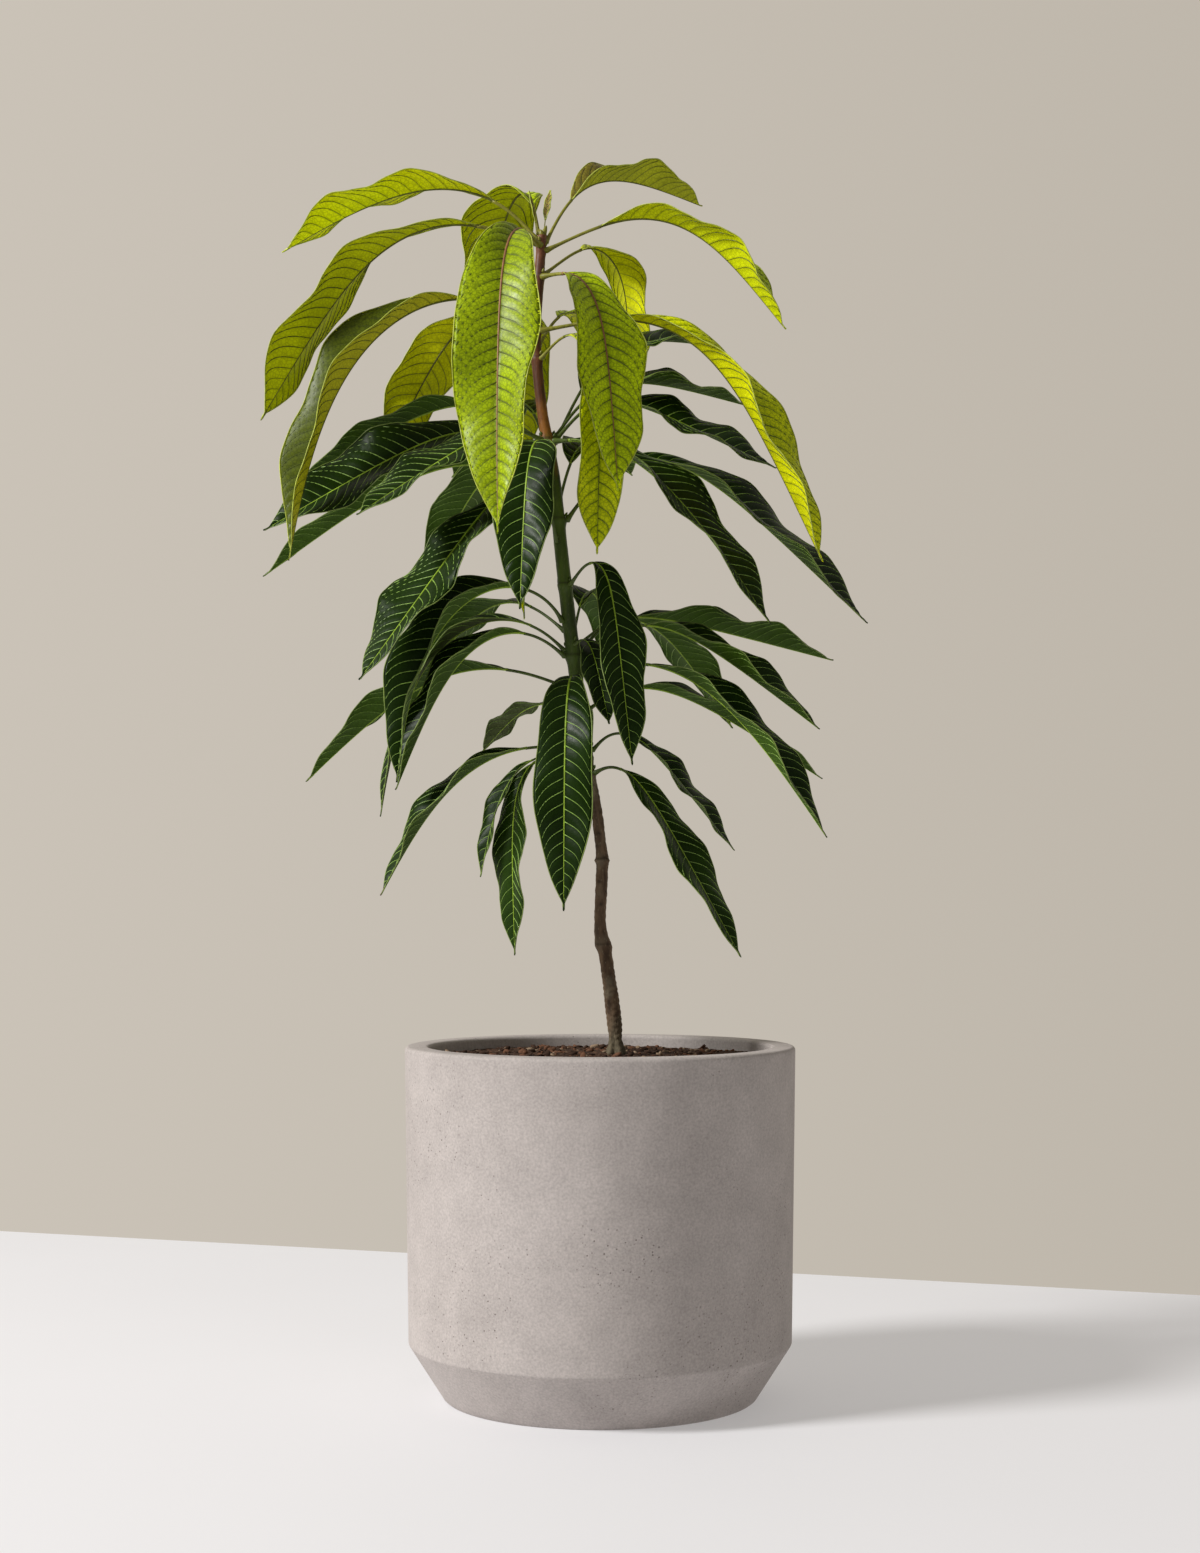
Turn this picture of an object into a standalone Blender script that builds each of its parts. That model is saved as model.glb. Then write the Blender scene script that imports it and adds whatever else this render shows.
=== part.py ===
"""A young mango tree in its planter, at its real size.

Metres, +Z up. The origin is the middle of the flat underside of the pot, and the
plant is seen from the front when looking along +Y.
"""

import math
import random
from dataclasses import dataclass

import bmesh
import bpy
import numpy as np
from mathutils import Matrix

# The pot: a straight tub on a chamfered foot.
POT_HEIGHT = 0.3054
POT_RIM_RADIUS = 0.170
POT_SHOULDER_RADIUS = 0.167
POT_SHOULDER_HEIGHT = 0.0475
POT_BASE_RADIUS = 0.1372
POT_WALL = 0.021
POT_FLOOR = 0.018
POT_EDGE = 0.003
POT_SIDES = 48

# The soil fills the pot, with a low mound that is flat under the trunk.
SOIL_EDGE_HEIGHT = 0.2962
SOIL_TOP_HEIGHT = 0.2987
SOIL_FLAT_RADIUS = 0.026
MOUND_STEPS = 5
CLEARANCE = 0.0003

# The trunk: its centre line and radius at chosen heights, from the cut at the soil
# to the bud. Columns: height, x, y, radius.
TRUNK_LINE = (
    (0.299, 0.0138, 0.000, 0.0071),
    (0.310, 0.0133, 0.000, 0.0052),
    (0.322, 0.0127, 0.000, 0.0063),
    (0.345, 0.0101, 0.001, 0.0064),
    (0.358, 0.0084, 0.002, 0.0060),
    (0.386, 0.0042, 0.003, 0.0058),
    (0.396, 0.0020, 0.003, 0.0063),
    (0.406, 0.0003, 0.003, 0.0054),
    (0.420, 0.0000, 0.003, 0.0050),
    (0.445, 0.0011, 0.002, 0.0052),
    (0.467, 0.0017, 0.002, 0.0051),
    (0.485, 0.0000, 0.001, 0.0049),
    (0.510, -0.0033, 0.001, 0.0050),
    (0.557, -0.0121, 0.000, 0.0054),
    (0.660, -0.0252, -0.001, 0.0062),
    (0.740, -0.0343, -0.001, 0.0059),
    (0.798, -0.0400, 0.000, 0.0055),
    (0.834, -0.0462, 0.001, 0.0052),
    (0.860, -0.0508, 0.001, 0.0047),
    (0.921, -0.0563, 0.001, 0.0045),
    (0.978, -0.0533, 0.000, 0.0045),
    (1.013, -0.0508, 0.000, 0.0038),
)
TRUNK_FLARE = 0.0010
TRUNK_FLARE_HEIGHT = 0.010
TRUNK_NODES = (0.392, 0.467, 0.557, 0.607, 0.645, 0.707, 0.764, 0.834, 0.905, 0.977)
NODE_SWELLING = 0.0006
NODE_REACH = 0.005
TRUNK_SIDES = 12
TRUNK_RINGS = 60

# A sleeve round the trunk carries the leaves of one mass.
SLEEVE_WALL = 0.0012
SLEEVE_SLACK = 0.0001
SLEEVE_MARGIN = 0.003

# The leaves.
STALK_RADIUS = 0.0015
STALK_ROOT_RADIUS = 0.0020
TIP_HALF_WIDTH = 0.0007
# A blade's thickness in its middle, as a share of its length.
THICKNESS_SHARE = 0.0125
STALK_STATIONS = 4
BLADE_STATIONS = 13
FINE_STEPS = 80
WAVES = 2.6
WAVE_SHARE = 0.15
MARGIN_LAG = 1.9
NEAR_BULGE = 2.1
FAR_BULGE = 2.4
# The broad part of a blade ends here, and a narrow drip tip runs on from it.
BODY_END = 0.975
DRIP_SHARE = 0.13
DRIP_LENGTH = 0.13
TIP_THICKNESS_SHARE = 0.35
SEED = 7


@dataclass
class Leaf:
    """One leaf: where it leaves the trunk, and how its stalk and blade run from there.

    Angles are in degrees. A heading of 0 points to the right, 90 to the back and 270
    to the front. The slope turns from rise to fall along the leaf, half of it by the
    share "at", and more suddenly the larger "snap" is.
    """

    height: float
    heading: float
    length: float
    rise: float
    fall: float
    width: float = 0.050
    stalk: float = 0.040
    at: float = 0.30
    snap: float = 2.0
    swing: float = 0.0
    roll: float = 0.0
    twist: float = 0.0
    fold: float = 14.0
    widest: float = 0.48


TIP_LEAVES = (
    Leaf(
        1.010, 178, 0.200, 50, -30,
        width=0.058, stalk=0.050, at=0.32, snap=1.6, roll=6, fold=20, widest=0.64,
    ),
    Leaf(1.006, 187, 0.272, 18, -60, width=0.069, stalk=0.052, at=0.32, roll=-20, twist=66, widest=0.60),
    Leaf(
        1.004, 254, 0.312, 8, -82,
        width=0.076, stalk=0.035, at=0.20, snap=2.2, swing=38, roll=-30, twist=84, fold=16,
    ),
    Leaf(1.010, 118, 0.168, 72, -72, width=0.070, stalk=0.036, at=0.34, snap=2.6),
    Leaf(1.008, 40, 0.166, 60, -6, width=0.054, stalk=0.050, at=0.38, roll=8, fold=38),
    Leaf(
        1.000, 354, 0.203, 24, -52,
        width=0.060, stalk=0.050, at=0.42, snap=2.2, roll=4, fold=28, widest=0.68,
    ),
    Leaf(1.011, 150, 0.030, 84, 76, width=0.004, stalk=0.014),
    Leaf(1.011, 70, 0.032, 84, 66, width=0.006, stalk=0.018),
)

YOUNG_LEAVES = (
    Leaf(
        0.942, 196, 0.300, 22, -80,
        width=0.062, stalk=0.060, at=0.30, snap=1.4, roll=-18, fold=42, widest=0.42,
    ),
    Leaf(0.935, 150, 0.160, 34, -58, width=0.056, stalk=0.055, at=0.26, roll=30, fold=10),
    Leaf(0.980, 47, 0.175, 36, -90, width=0.052, stalk=0.055, at=0.41, snap=3.0, roll=10, fold=12),
    Leaf(0.976, 311, 0.224, -4, -84, width=0.066, stalk=0.026, at=0.24, snap=2.2, roll=10, fold=12),
    Leaf(0.905, 314, 0.216, 32, -92, width=0.040, stalk=0.032, at=0.21, snap=2.5, roll=25, widest=0.70),
    Leaf(
        0.930, 350, 0.302, 8, -65,
        width=0.070, stalk=0.060, at=0.33, snap=2.4, roll=12, fold=30, widest=0.62,
    ),
    Leaf(0.950, 98, 0.195, 20, -58, width=0.058, stalk=0.055, at=0.34),
    Leaf(0.918, 64, 0.185, 46, -30, width=0.056, stalk=0.050, at=0.36),
)

UPPER_LEAVES = (
    Leaf(0.834, 167, 0.185, 38, -26, width=0.046, stalk=0.058, at=0.30, snap=2.5, roll=-6, fold=30),
    Leaf(0.822, 187, 0.215, 24, -31, width=0.070, stalk=0.052, at=0.25, snap=2.5, roll=-46),
    Leaf(0.834, 214, 0.176, 20, -34, width=0.062, stalk=0.030, at=0.15, roll=-14, fold=12),
    Leaf(0.813, 256, 0.180, 30, -82, width=0.054, stalk=0.030, at=0.24, snap=2.2, fold=12, widest=0.38),
    Leaf(0.830, 110, 0.190, 52, -28, width=0.056, stalk=0.045, at=0.36, swing=14, fold=12),
    Leaf(0.832, 26, 0.140, 64, 0, width=0.056, stalk=0.055, at=0.55, roll=24, fold=16),
    Leaf(0.836, 20, 0.152, 55, -10, width=0.056, stalk=0.055, at=0.34, snap=2.2, roll=18, fold=22),
    Leaf(0.834, 8, 0.172, 50, -24, width=0.064, stalk=0.050, at=0.25, snap=3.0, roll=30, fold=12),
    Leaf(0.833, 341, 0.256, 0, -56, width=0.070, stalk=0.012, at=0.23, snap=1.5, roll=14, fold=16),
)

MIDDLE_LEAVES = (
    Leaf(0.790, 170, 0.230, 30, -34, width=0.056, stalk=0.060, at=0.28, fold=22),
    Leaf(0.782, 218, 0.228, 30, -51, width=0.076, stalk=0.050, at=0.12, snap=2.5, roll=-6, fold=10),
    Leaf(0.744, 245, 0.150, 62, -95, width=0.024, stalk=0.030, at=0.34, snap=2.5, roll=30, fold=20),
    Leaf(
        0.764, 6, 0.270, 55, -43,
        width=0.070, stalk=0.070, at=0.26, snap=2.5, roll=24, fold=18, widest=0.60,
    ),
    Leaf(0.792, 125, 0.205, 38, -44, width=0.056, stalk=0.050, at=0.34),
    Leaf(0.780, 72, 0.195, 56, -8, width=0.054, stalk=0.050, at=0.36),
)

LOWER_LEAVES = (
    Leaf(
        0.675, 211, 0.228, 58, -84,
        width=0.056, stalk=0.052, at=0.26, snap=1.2, roll=-16, fold=44, widest=0.42,
    ),
    Leaf(0.650, 181, 0.245, 46, -81, width=0.046, stalk=0.036, at=0.29, snap=1.5, roll=-10, fold=20),
    Leaf(0.645, 190, 0.190, 40, -68, width=0.050, stalk=0.040, at=0.26, snap=1.8, roll=-12, fold=34),
    Leaf(0.707, 308, 0.195, 38, -80, width=0.044, stalk=0.032, at=0.18, snap=3.0, roll=8),
    Leaf(0.650, 12, 0.185, 50, -13, width=0.060, stalk=0.060, at=0.18, snap=2.5, roll=8, fold=34),
    Leaf(0.646, 350, 0.180, 38, -38, width=0.052, stalk=0.062, at=0.25, snap=2.2, roll=10, fold=30),
    Leaf(0.630, 345, 0.224, 17, -56, width=0.056, stalk=0.058, at=0.27, snap=1.6, roll=8, fold=28),
    Leaf(0.655, 296, 0.098, 16, -66, width=0.030, stalk=0.012, at=0.20, roll=10),
    Leaf(0.662, 74, 0.150, 60, -50, width=0.042, stalk=0.035, at=0.40),
    Leaf(0.668, 140, 0.205, 36, -50, width=0.050, stalk=0.045, at=0.34),
    Leaf(0.655, 46, 0.200, 34, -44, width=0.050, stalk=0.045, at=0.34),
)

BOTTOM_LEAVES = (
    Leaf(0.617, 163, 0.224, 22, -41, width=0.056, stalk=0.060, at=0.36, snap=1.8, fold=22),
    Leaf(0.598, 14, 0.196, 36, -31, width=0.050, stalk=0.045, at=0.22, roll=10, fold=26),
    Leaf(0.607, 263, 0.235, 38, -88, width=0.050, stalk=0.025, at=0.20, snap=2.2, fold=12, widest=0.52),
    Leaf(0.600, 142, 0.088, 14, -40, width=0.036, stalk=0.030, at=0.40, fold=12),
    Leaf(0.564, 190, 0.188, 6, -62, width=0.050, stalk=0.045, at=0.35, snap=1.6, roll=-6, fold=22),
    Leaf(0.558, 205, 0.116, 6, -78, width=0.024, stalk=0.045, at=0.33, snap=1.8, roll=-10, fold=24),
    Leaf(0.556, 217, 0.172, 6, -92, width=0.042, stalk=0.050, at=0.25, snap=2.5, fold=12),
    Leaf(0.563, 15, 0.145, 48, -50, width=0.044, stalk=0.035, at=0.17, snap=2.5, roll=30),
    Leaf(
        0.543, 325, 0.204, 24, -57,
        width=0.048, stalk=0.028, at=0.11, snap=2.0, roll=4, fold=12, widest=0.42,
    ),
    Leaf(0.590, 96, 0.210, 32, -74, width=0.048, stalk=0.040, at=0.32),
)

MASSES = {
    "tip_leaves": (TIP_LEAVES, (0.42, 0.52, 0.03)),
    "young_leaves": (YOUNG_LEAVES, (0.36, 0.47, 0.03)),
    "upper_leaves": (UPPER_LEAVES, (0.03, 0.12, 0.02)),
    "middle_leaves": (MIDDLE_LEAVES, (0.03, 0.13, 0.02)),
    "lower_leaves": (LOWER_LEAVES, (0.02, 0.10, 0.02)),
    "bottom_leaves": (BOTTOM_LEAVES, (0.02, 0.10, 0.02)),
}


def clear_scene():
    for obj in list(bpy.data.objects):
        bpy.data.objects.remove(obj, do_unlink=True)


def plain_material(name, colour, roughness):
    material = bpy.data.materials.new(name)
    material.use_nodes = True
    shader = material.node_tree.nodes["Principled BSDF"]
    shader.inputs["Base Color"].default_value = (*colour, 1.0)
    shader.inputs["Roughness"].default_value = roughness
    shader.inputs["Metallic"].default_value = 0.0
    return material


def object_from(name, points, faces, material):
    """A mesh object with its faces turned outwards."""
    mesh = bpy.data.meshes.new(name)
    mesh.from_pydata([tuple(map(float, p)) for p in points], [], faces)
    shape = bmesh.new()
    shape.from_mesh(mesh)
    bmesh.ops.recalc_face_normals(shape, faces=shape.faces)
    shape.to_mesh(mesh)
    shape.free()
    mesh.materials.append(material)
    obj = bpy.data.objects.new(name, mesh)
    bpy.context.scene.collection.objects.link(obj)
    return obj


def spun(name, profile, sides, material):
    """A solid turned about Z from (radius, height) pairs that start and end on the axis."""
    points = [(0.0, 0.0, profile[0][1])]
    for radius, height in profile[1:-1]:
        for k in range(sides):
            turn = 2 * math.pi * k / sides
            points.append((radius * math.cos(turn), radius * math.sin(turn), height))
    points.append((0.0, 0.0, profile[-1][1]))
    rings = len(profile) - 2
    faces = []
    for k in range(sides):
        after = (k + 1) % sides
        faces.append((0, 1 + after, 1 + k))
        for ring in range(rings - 1):
            low = 1 + ring * sides
            high = low + sides
            faces.append((low + k, low + after, high + after, high + k))
        last = 1 + (rings - 1) * sides
        faces.append((last + k, last + after, len(points) - 1))
    obj = object_from(name, points, faces, material)
    obj.data.shade_smooth()
    obj.data.set_sharp_from_angle(angle=math.radians(40))
    return obj


def arc(centre, radius, start, end, steps):
    """(radius, height) pairs along an arc, its angles in degrees."""
    pairs = []
    for i in range(steps + 1):
        angle = math.radians(start + (end - start) * i / steps)
        pairs.append((centre[0] + radius * math.cos(angle), centre[1] + radius * math.sin(angle)))
    return pairs


def pot_inside():
    """(radius, height) pairs up the inner wall of the pot, from its floor to under the rim."""
    wall = POT_RIM_RADIUS - POT_WALL
    return [
        (POT_BASE_RADIUS - POT_WALL + POT_EDGE, POT_FLOOR),
        (POT_SHOULDER_RADIUS - POT_WALL, POT_SHOULDER_HEIGHT + POT_EDGE),
        (wall, POT_HEIGHT - POT_EDGE),
    ]


def make_pot():
    edge = POT_EDGE
    wall = POT_RIM_RADIUS - POT_WALL
    profile = [(0.0, 0.0), (POT_BASE_RADIUS - edge, 0.0)]
    profile += [(POT_BASE_RADIUS - 0.3 * edge, 0.3 * edge), (POT_BASE_RADIUS + 0.3 * edge, edge)]
    profile += [(POT_SHOULDER_RADIUS - 0.7 * edge, POT_SHOULDER_HEIGHT - edge)]
    profile += [(POT_SHOULDER_RADIUS, POT_SHOULDER_HEIGHT + 1.5 * edge)]
    profile += arc((POT_RIM_RADIUS - edge, POT_HEIGHT - edge), edge, 0, 90, 3)
    profile += arc((wall + edge, POT_HEIGHT - edge), edge, 90, 180, 3)[:-1]
    profile += pot_inside()[::-1]
    profile += [(0.0, POT_FLOOR)]
    return spun("pot", profile, POT_SIDES, plain_material("pot", (0.36, 0.32, 0.30), 0.85))


def make_soil():
    floor, shoulder, rim = pot_inside()
    share = (SOIL_EDGE_HEIGHT - shoulder[1]) / (rim[1] - shoulder[1])
    top_radius = shoulder[0] + share * (rim[0] - shoulder[0]) - 2 * CLEARANCE
    profile = [(0.0, POT_FLOOR + CLEARANCE)]
    profile += [(floor[0] - 2 * CLEARANCE, POT_FLOOR + CLEARANCE)]
    profile += [(shoulder[0] - 2 * CLEARANCE, shoulder[1])]
    profile += [(top_radius, SOIL_EDGE_HEIGHT)]
    mound = SOIL_TOP_HEIGHT - SOIL_EDGE_HEIGHT
    for i in range(1, MOUND_STEPS + 1):
        away = 1 - i / MOUND_STEPS
        radius = SOIL_FLAT_RADIUS + (top_radius - SOIL_FLAT_RADIUS) * away
        profile.append((radius, SOIL_TOP_HEIGHT - mound * away**2))
    profile.append((0.0, SOIL_TOP_HEIGHT))
    return spun("soil", profile, POT_SIDES, plain_material("soil", (0.07, 0.035, 0.022), 0.95))


def smooth_between(rows, height):
    """The row of values at a height, on a smooth curve through the rows."""
    heights = [row[0] for row in rows]
    i = int(np.clip(np.searchsorted(heights, height) - 1, 0, len(rows) - 2))
    before = np.array(rows[max(i - 1, 0)])
    start = np.array(rows[i])
    end = np.array(rows[i + 1])
    after = np.array(rows[min(i + 2, len(rows) - 1)])
    gap = end[0] - start[0]
    s = (height - start[0]) / gap
    slope_in = (end - before) / (end[0] - before[0]) * gap
    slope_out = (after - start) / (after[0] - start[0]) * gap
    value = start * (2 * s**3 - 3 * s**2 + 1) + end * (3 * s**2 - 2 * s**3)
    value += slope_in * (s**3 - 2 * s**2 + s) + slope_out * (s**3 - s**2)
    return value[1:]


def trunk_ring(height):
    """The x, y and radius of the trunk at the height of one of its rings."""
    x, y, radius = smooth_between(TRUNK_LINE, height)
    radius += TRUNK_FLARE * math.exp(-(height - TRUNK_LINE[0][0]) / TRUNK_FLARE_HEIGHT)
    for node in TRUNK_NODES:
        radius += NODE_SWELLING * math.exp(-(((height - node) / NODE_REACH) ** 2))
    return x, y, radius


RING_HEIGHTS = np.linspace(TRUNK_LINE[0][0], TRUNK_LINE[-1][0], TRUNK_RINGS + 1)
RINGS = np.array([trunk_ring(height) for height in RING_HEIGHTS])


def trunk_at(height):
    """The centre and radius of the faceted trunk at a height."""
    x, y, radius = (np.interp(height, RING_HEIGHTS, column) for column in RINGS.T)
    return np.array((x, y, height)), radius


def ring_of(height, extra):
    """Points round the trunk at a height, clear of its surface by the extra radius."""
    centre, radius = trunk_at(height)
    turns = 2 * math.pi * np.arange(TRUNK_SIDES) / TRUNK_SIDES
    reach = radius + extra
    return [centre + reach * np.array((math.cos(a), math.sin(a), 0.0)) for a in turns]


def band_faces(low, high, sides):
    return [(low + k, low + (k + 1) % sides, high + (k + 1) % sides, high + k) for k in range(sides)]


def make_trunk(name, extra, material):
    """The trunk, or the space that it needs when its surface is moved out by the extra radius."""
    points = []
    faces = []
    for i, height in enumerate(RING_HEIGHTS):
        points += ring_of(height, extra)
        if i:
            faces += band_faces((i - 1) * TRUNK_SIDES, i * TRUNK_SIDES, TRUNK_SIDES)
    last = TRUNK_RINGS * TRUNK_SIDES
    faces.append(tuple(range(TRUNK_SIDES))[::-1])
    faces += [(last + k, last + (k + 1) % TRUNK_SIDES, len(points)) for k in range(TRUNK_SIDES)]
    centre, radius = trunk_at(RING_HEIGHTS[-1])
    points.append(centre + np.array((0.0, 0.0, radius + extra)))
    trunk = object_from(name, points, faces, material)
    trunk.data.shade_smooth()
    trunk.data.set_sharp_from_angle(angle=math.radians(50))
    return trunk


def make_sleeve(name, leaves, material):
    """A thin tube round the trunk, as tall as the stretch that its leaves grow from."""
    low = min(leaf.height for leaf in leaves) - SLEEVE_MARGIN
    high = min(max(leaf.height for leaf in leaves) + SLEEVE_MARGIN, RING_HEIGHTS[-1])
    between = [height for height in RING_HEIGHTS if low + CLEARANCE < height < high - CLEARANCE]
    heights = [low, *between, high]
    points = []
    faces = []
    for height in heights:
        points += ring_of(height, CLEARANCE + SLEEVE_WALL)
        points += ring_of(height, CLEARANCE + SLEEVE_SLACK)
    stride = 2 * TRUNK_SIDES
    end = (len(heights) - 1) * stride
    for start in range(0, end, stride):
        faces += band_faces(start, start + stride, TRUNK_SIDES)
        faces += band_faces(start + TRUNK_SIDES, start + stride + TRUNK_SIDES, TRUNK_SIDES)
    faces += band_faces(0, TRUNK_SIDES, TRUNK_SIDES)
    faces += band_faces(end, end + TRUNK_SIDES, TRUNK_SIDES)
    return object_from(name, points, faces, material)


def blade_share(t, widest):
    """The share of the full half width at t along the blade, from 0 at the stalk to 1 at the tip."""
    near = 1 - max(0.0, (widest - t) / widest) ** NEAR_BULGE
    far = 1 - max(0.0, (t - widest) / (BODY_END - widest)) ** FAR_BULGE
    drip = DRIP_SHARE * min(1.0, (1 - t) / DRIP_LENGTH)
    return max(0.0, min(near, max(far, drip)))


def slope_at(leaf, s):
    """The slope and heading in radians at the share s of the whole leaf."""
    ratio = leaf.at / (1 - leaf.at)
    done = s**leaf.snap
    share = done / (done + (ratio * max(0.0, 1 - s)) ** leaf.snap)
    slope = leaf.rise + (leaf.fall - leaf.rise) * share
    return math.radians(slope), math.radians(leaf.heading + leaf.swing * s)


def leaf_frame(leaf, s):
    """Unit vectors along, across and out of the upper face of the leaf at the share s."""
    slope, heading = slope_at(leaf, s)
    flat = math.cos(slope)
    along = np.array((flat * math.cos(heading), flat * math.sin(heading), math.sin(slope)))
    across = np.array((-math.sin(heading), math.cos(heading), 0.0))
    upper = np.cross(along, across)
    roll = math.radians(leaf.roll + leaf.twist * s)
    return (
        along,
        across * math.cos(roll) + upper * math.sin(roll),
        upper * math.cos(roll) - across * math.sin(roll),
    )


def leaf_line(leaf):
    """Points down the middle of the leaf, a fine step apart, from its root in the sleeve."""
    centre, radius = trunk_at(leaf.height)
    heading = math.radians(leaf.heading)
    root = radius + CLEARANCE + 0.5 * SLEEVE_WALL
    point = centre + root * np.array((math.cos(heading), math.sin(heading), 0.0))
    step = (leaf.stalk + leaf.length) / FINE_STEPS
    points = [point]
    for i in range(FINE_STEPS):
        along = leaf_frame(leaf, (i + 0.5) / FINE_STEPS)[0]
        point = point + along * step
        points.append(point)
    return np.array(points)


def stalk_section(middle, along, across, upper, rooted):
    """Four corners round the stalk; the first of them stands upright, inside the sleeve."""
    radius = STALK_RADIUS
    if rooted:
        radius = STALK_ROOT_RADIUS
        upper = np.array((0.0, 0.0, 1.0))
        across = np.cross(upper, along)
        across /= np.linalg.norm(across)
    return (
        middle + across * radius,
        middle + upper * radius,
        middle - across * radius,
        middle - upper * radius,
    )


def blade_section(leaf, t, phase, middle, across, upper):
    """Four corners across the folded blade: a margin, the top, the other margin, the bottom."""
    fold = math.radians(leaf.fold)
    half = max(TIP_HALF_WIDTH, 0.5 * leaf.width * blade_share(t, leaf.widest))
    lift = half * math.sin(fold)
    reach = half * math.cos(fold)
    turn = 2 * math.pi * WAVES * t + phase
    ripple = WAVE_SHARE * half
    thick = 0.5 * THICKNESS_SHARE * leaf.length * min(1.0, TIP_THICKNESS_SHARE + 3 * (1 - t))
    return (
        middle + across * reach + upper * (lift + ripple * math.sin(turn)),
        middle + upper * thick,
        middle - across * reach + upper * (lift + ripple * math.sin(turn + MARGIN_LAG)),
        middle - upper * thick,
    )


def leaf_sections(leaf, phase):
    """Sections from the root of the stalk to the tip of the blade."""
    line = leaf_line(leaf)
    whole = leaf.stalk + leaf.length
    stations = [leaf.stalk * i / STALK_STATIONS for i in range(STALK_STATIONS)]
    stations += [leaf.stalk + leaf.length * i / BLADE_STATIONS for i in range(BLADE_STATIONS + 1)]
    sections = []
    for number, distance in enumerate(stations):
        position = distance / whole * FINE_STEPS
        low = min(int(position), FINE_STEPS - 1)
        middle = line[low] + (line[low + 1] - line[low]) * (position - low)
        along, across, upper = leaf_frame(leaf, distance / whole)
        if number <= STALK_STATIONS:
            sections.append(stalk_section(middle, along, across, upper, number == 0))
        else:
            t = (distance - leaf.stalk) / leaf.length
            sections.append(blade_section(leaf, t, phase, middle, across, upper))
    return sections


def make_leaf(name, leaf, phase, material):
    points = []
    faces = []
    sections = leaf_sections(leaf, phase)
    for i, section in enumerate(sections):
        points += section
        if i:
            faces += band_faces(4 * (i - 1), 4 * i, 4)
    end = 4 * (len(sections) - 1)
    faces.append((0, 1, 2, 3))
    faces.append((end, end + 1, end + 2, end + 3))
    leaf_object = object_from(name, points, faces, material)
    shape = bmesh.new()
    shape.from_mesh(leaf_object.data)
    bmesh.ops.triangulate(shape, faces=shape.faces)
    shape.to_mesh(leaf_object.data)
    shape.free()
    return leaf_object


def drop_scraps(mesh):
    """Keeps only the largest connected piece of a mesh."""
    shape = bmesh.new()
    shape.from_mesh(mesh)
    left = set(shape.verts)
    pieces = []
    while left:
        stack = [left.pop()]
        piece = set(stack)
        while stack:
            for edge in stack.pop().link_edges:
                for vert in edge.verts:
                    if vert in left:
                        left.remove(vert)
                        piece.add(vert)
                        stack.append(vert)
        pieces.append(piece)
    pieces.sort(key=len)
    for piece in pieces[:-1]:
        bmesh.ops.delete(shape, geom=list(piece), context="VERTS")
    shape.to_mesh(mesh)
    shape.free()


def apply_boolean(body, operation, helpers):
    """Joins the helpers to the body, or cuts them from it, and then removes them."""
    group = bpy.data.collections.new("helpers")
    bpy.context.scene.collection.children.link(group)
    for helper in helpers:
        bpy.context.scene.collection.objects.unlink(helper)
        group.objects.link(helper)
    boolean = body.modifiers.new("boolean", "BOOLEAN")
    boolean.operation = operation
    boolean.operand_type = "COLLECTION"
    boolean.collection = group
    boolean.solver = "EXACT"
    graph = bpy.context.evaluated_depsgraph_get()
    result = bpy.data.meshes.new_from_object(body.evaluated_get(graph))
    body.modifiers.clear()
    body.data = result
    for helper in helpers:
        bpy.data.objects.remove(helper, do_unlink=True)
    bpy.data.collections.remove(group)


def make_mass(name, leaves, colour, draws):
    """The leaves of one mass, fused to their sleeve and cut clear of the trunk."""
    material = plain_material(name, colour, 0.4)
    body = make_sleeve(name, leaves, material)
    phases = [draws.uniform(0, 2 * math.pi) for _ in leaves]
    blades = [make_leaf(f"{name}_{i}", leaf, phases[i], material) for i, leaf in enumerate(leaves)]
    apply_boolean(body, "UNION", blades)
    apply_boolean(body, "DIFFERENCE", [make_trunk("trunk_space", CLEARANCE, material)])
    drop_scraps(body.data)
    return body


def main():
    clear_scene()
    plant = bpy.data.objects.new("mango_sapling", None)
    bpy.context.scene.collection.objects.link(plant)
    bark = plain_material("trunk", (0.14, 0.09, 0.05), 0.7)
    pieces = [make_pot(), make_soil(), make_trunk("trunk", 0.0, bark)]
    draws = random.Random(SEED)
    for name, (leaves, colour) in MASSES.items():
        pieces.append(make_mass(name, leaves, colour, draws))
    for piece in pieces:
        piece.parent = plant
        piece.matrix_parent_inverse = Matrix.Identity(4)


main()
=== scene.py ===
"""The looks of a young mango tree in its planter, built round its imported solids.

Metres, +Z up, in the solids' own frame. The leaves follow the solids' rule and, but for
small changes to one leaf in front, their table, with finer blades, veins, margins and
stalks. Angles are in degrees, unless a line says otherwise.
"""

import math
import random
from dataclasses import dataclass

import bpy
import numpy as np
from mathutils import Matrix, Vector, noise


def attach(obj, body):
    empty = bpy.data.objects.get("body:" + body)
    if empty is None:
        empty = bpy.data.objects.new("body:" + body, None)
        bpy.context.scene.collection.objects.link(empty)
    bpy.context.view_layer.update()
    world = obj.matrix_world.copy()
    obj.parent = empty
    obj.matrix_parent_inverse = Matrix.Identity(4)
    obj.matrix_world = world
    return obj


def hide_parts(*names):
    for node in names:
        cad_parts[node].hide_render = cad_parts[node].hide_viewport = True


# The photograph: its size, the pot's axis and the eye level in it, in pixels.
PHOTO_WIDTH = 1200
PHOTO_HEIGHT = 1553
AXIS_PX = 600.2
EYE_LEVEL_PX = 897.35
CAMERA_DISTANCE = 2.02
CAMERA_HEIGHT = 0.4345
LENS_MM = 53.57
UPRIGHT_CAMERA = (math.radians(90), 0.0, 0.0)

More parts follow.
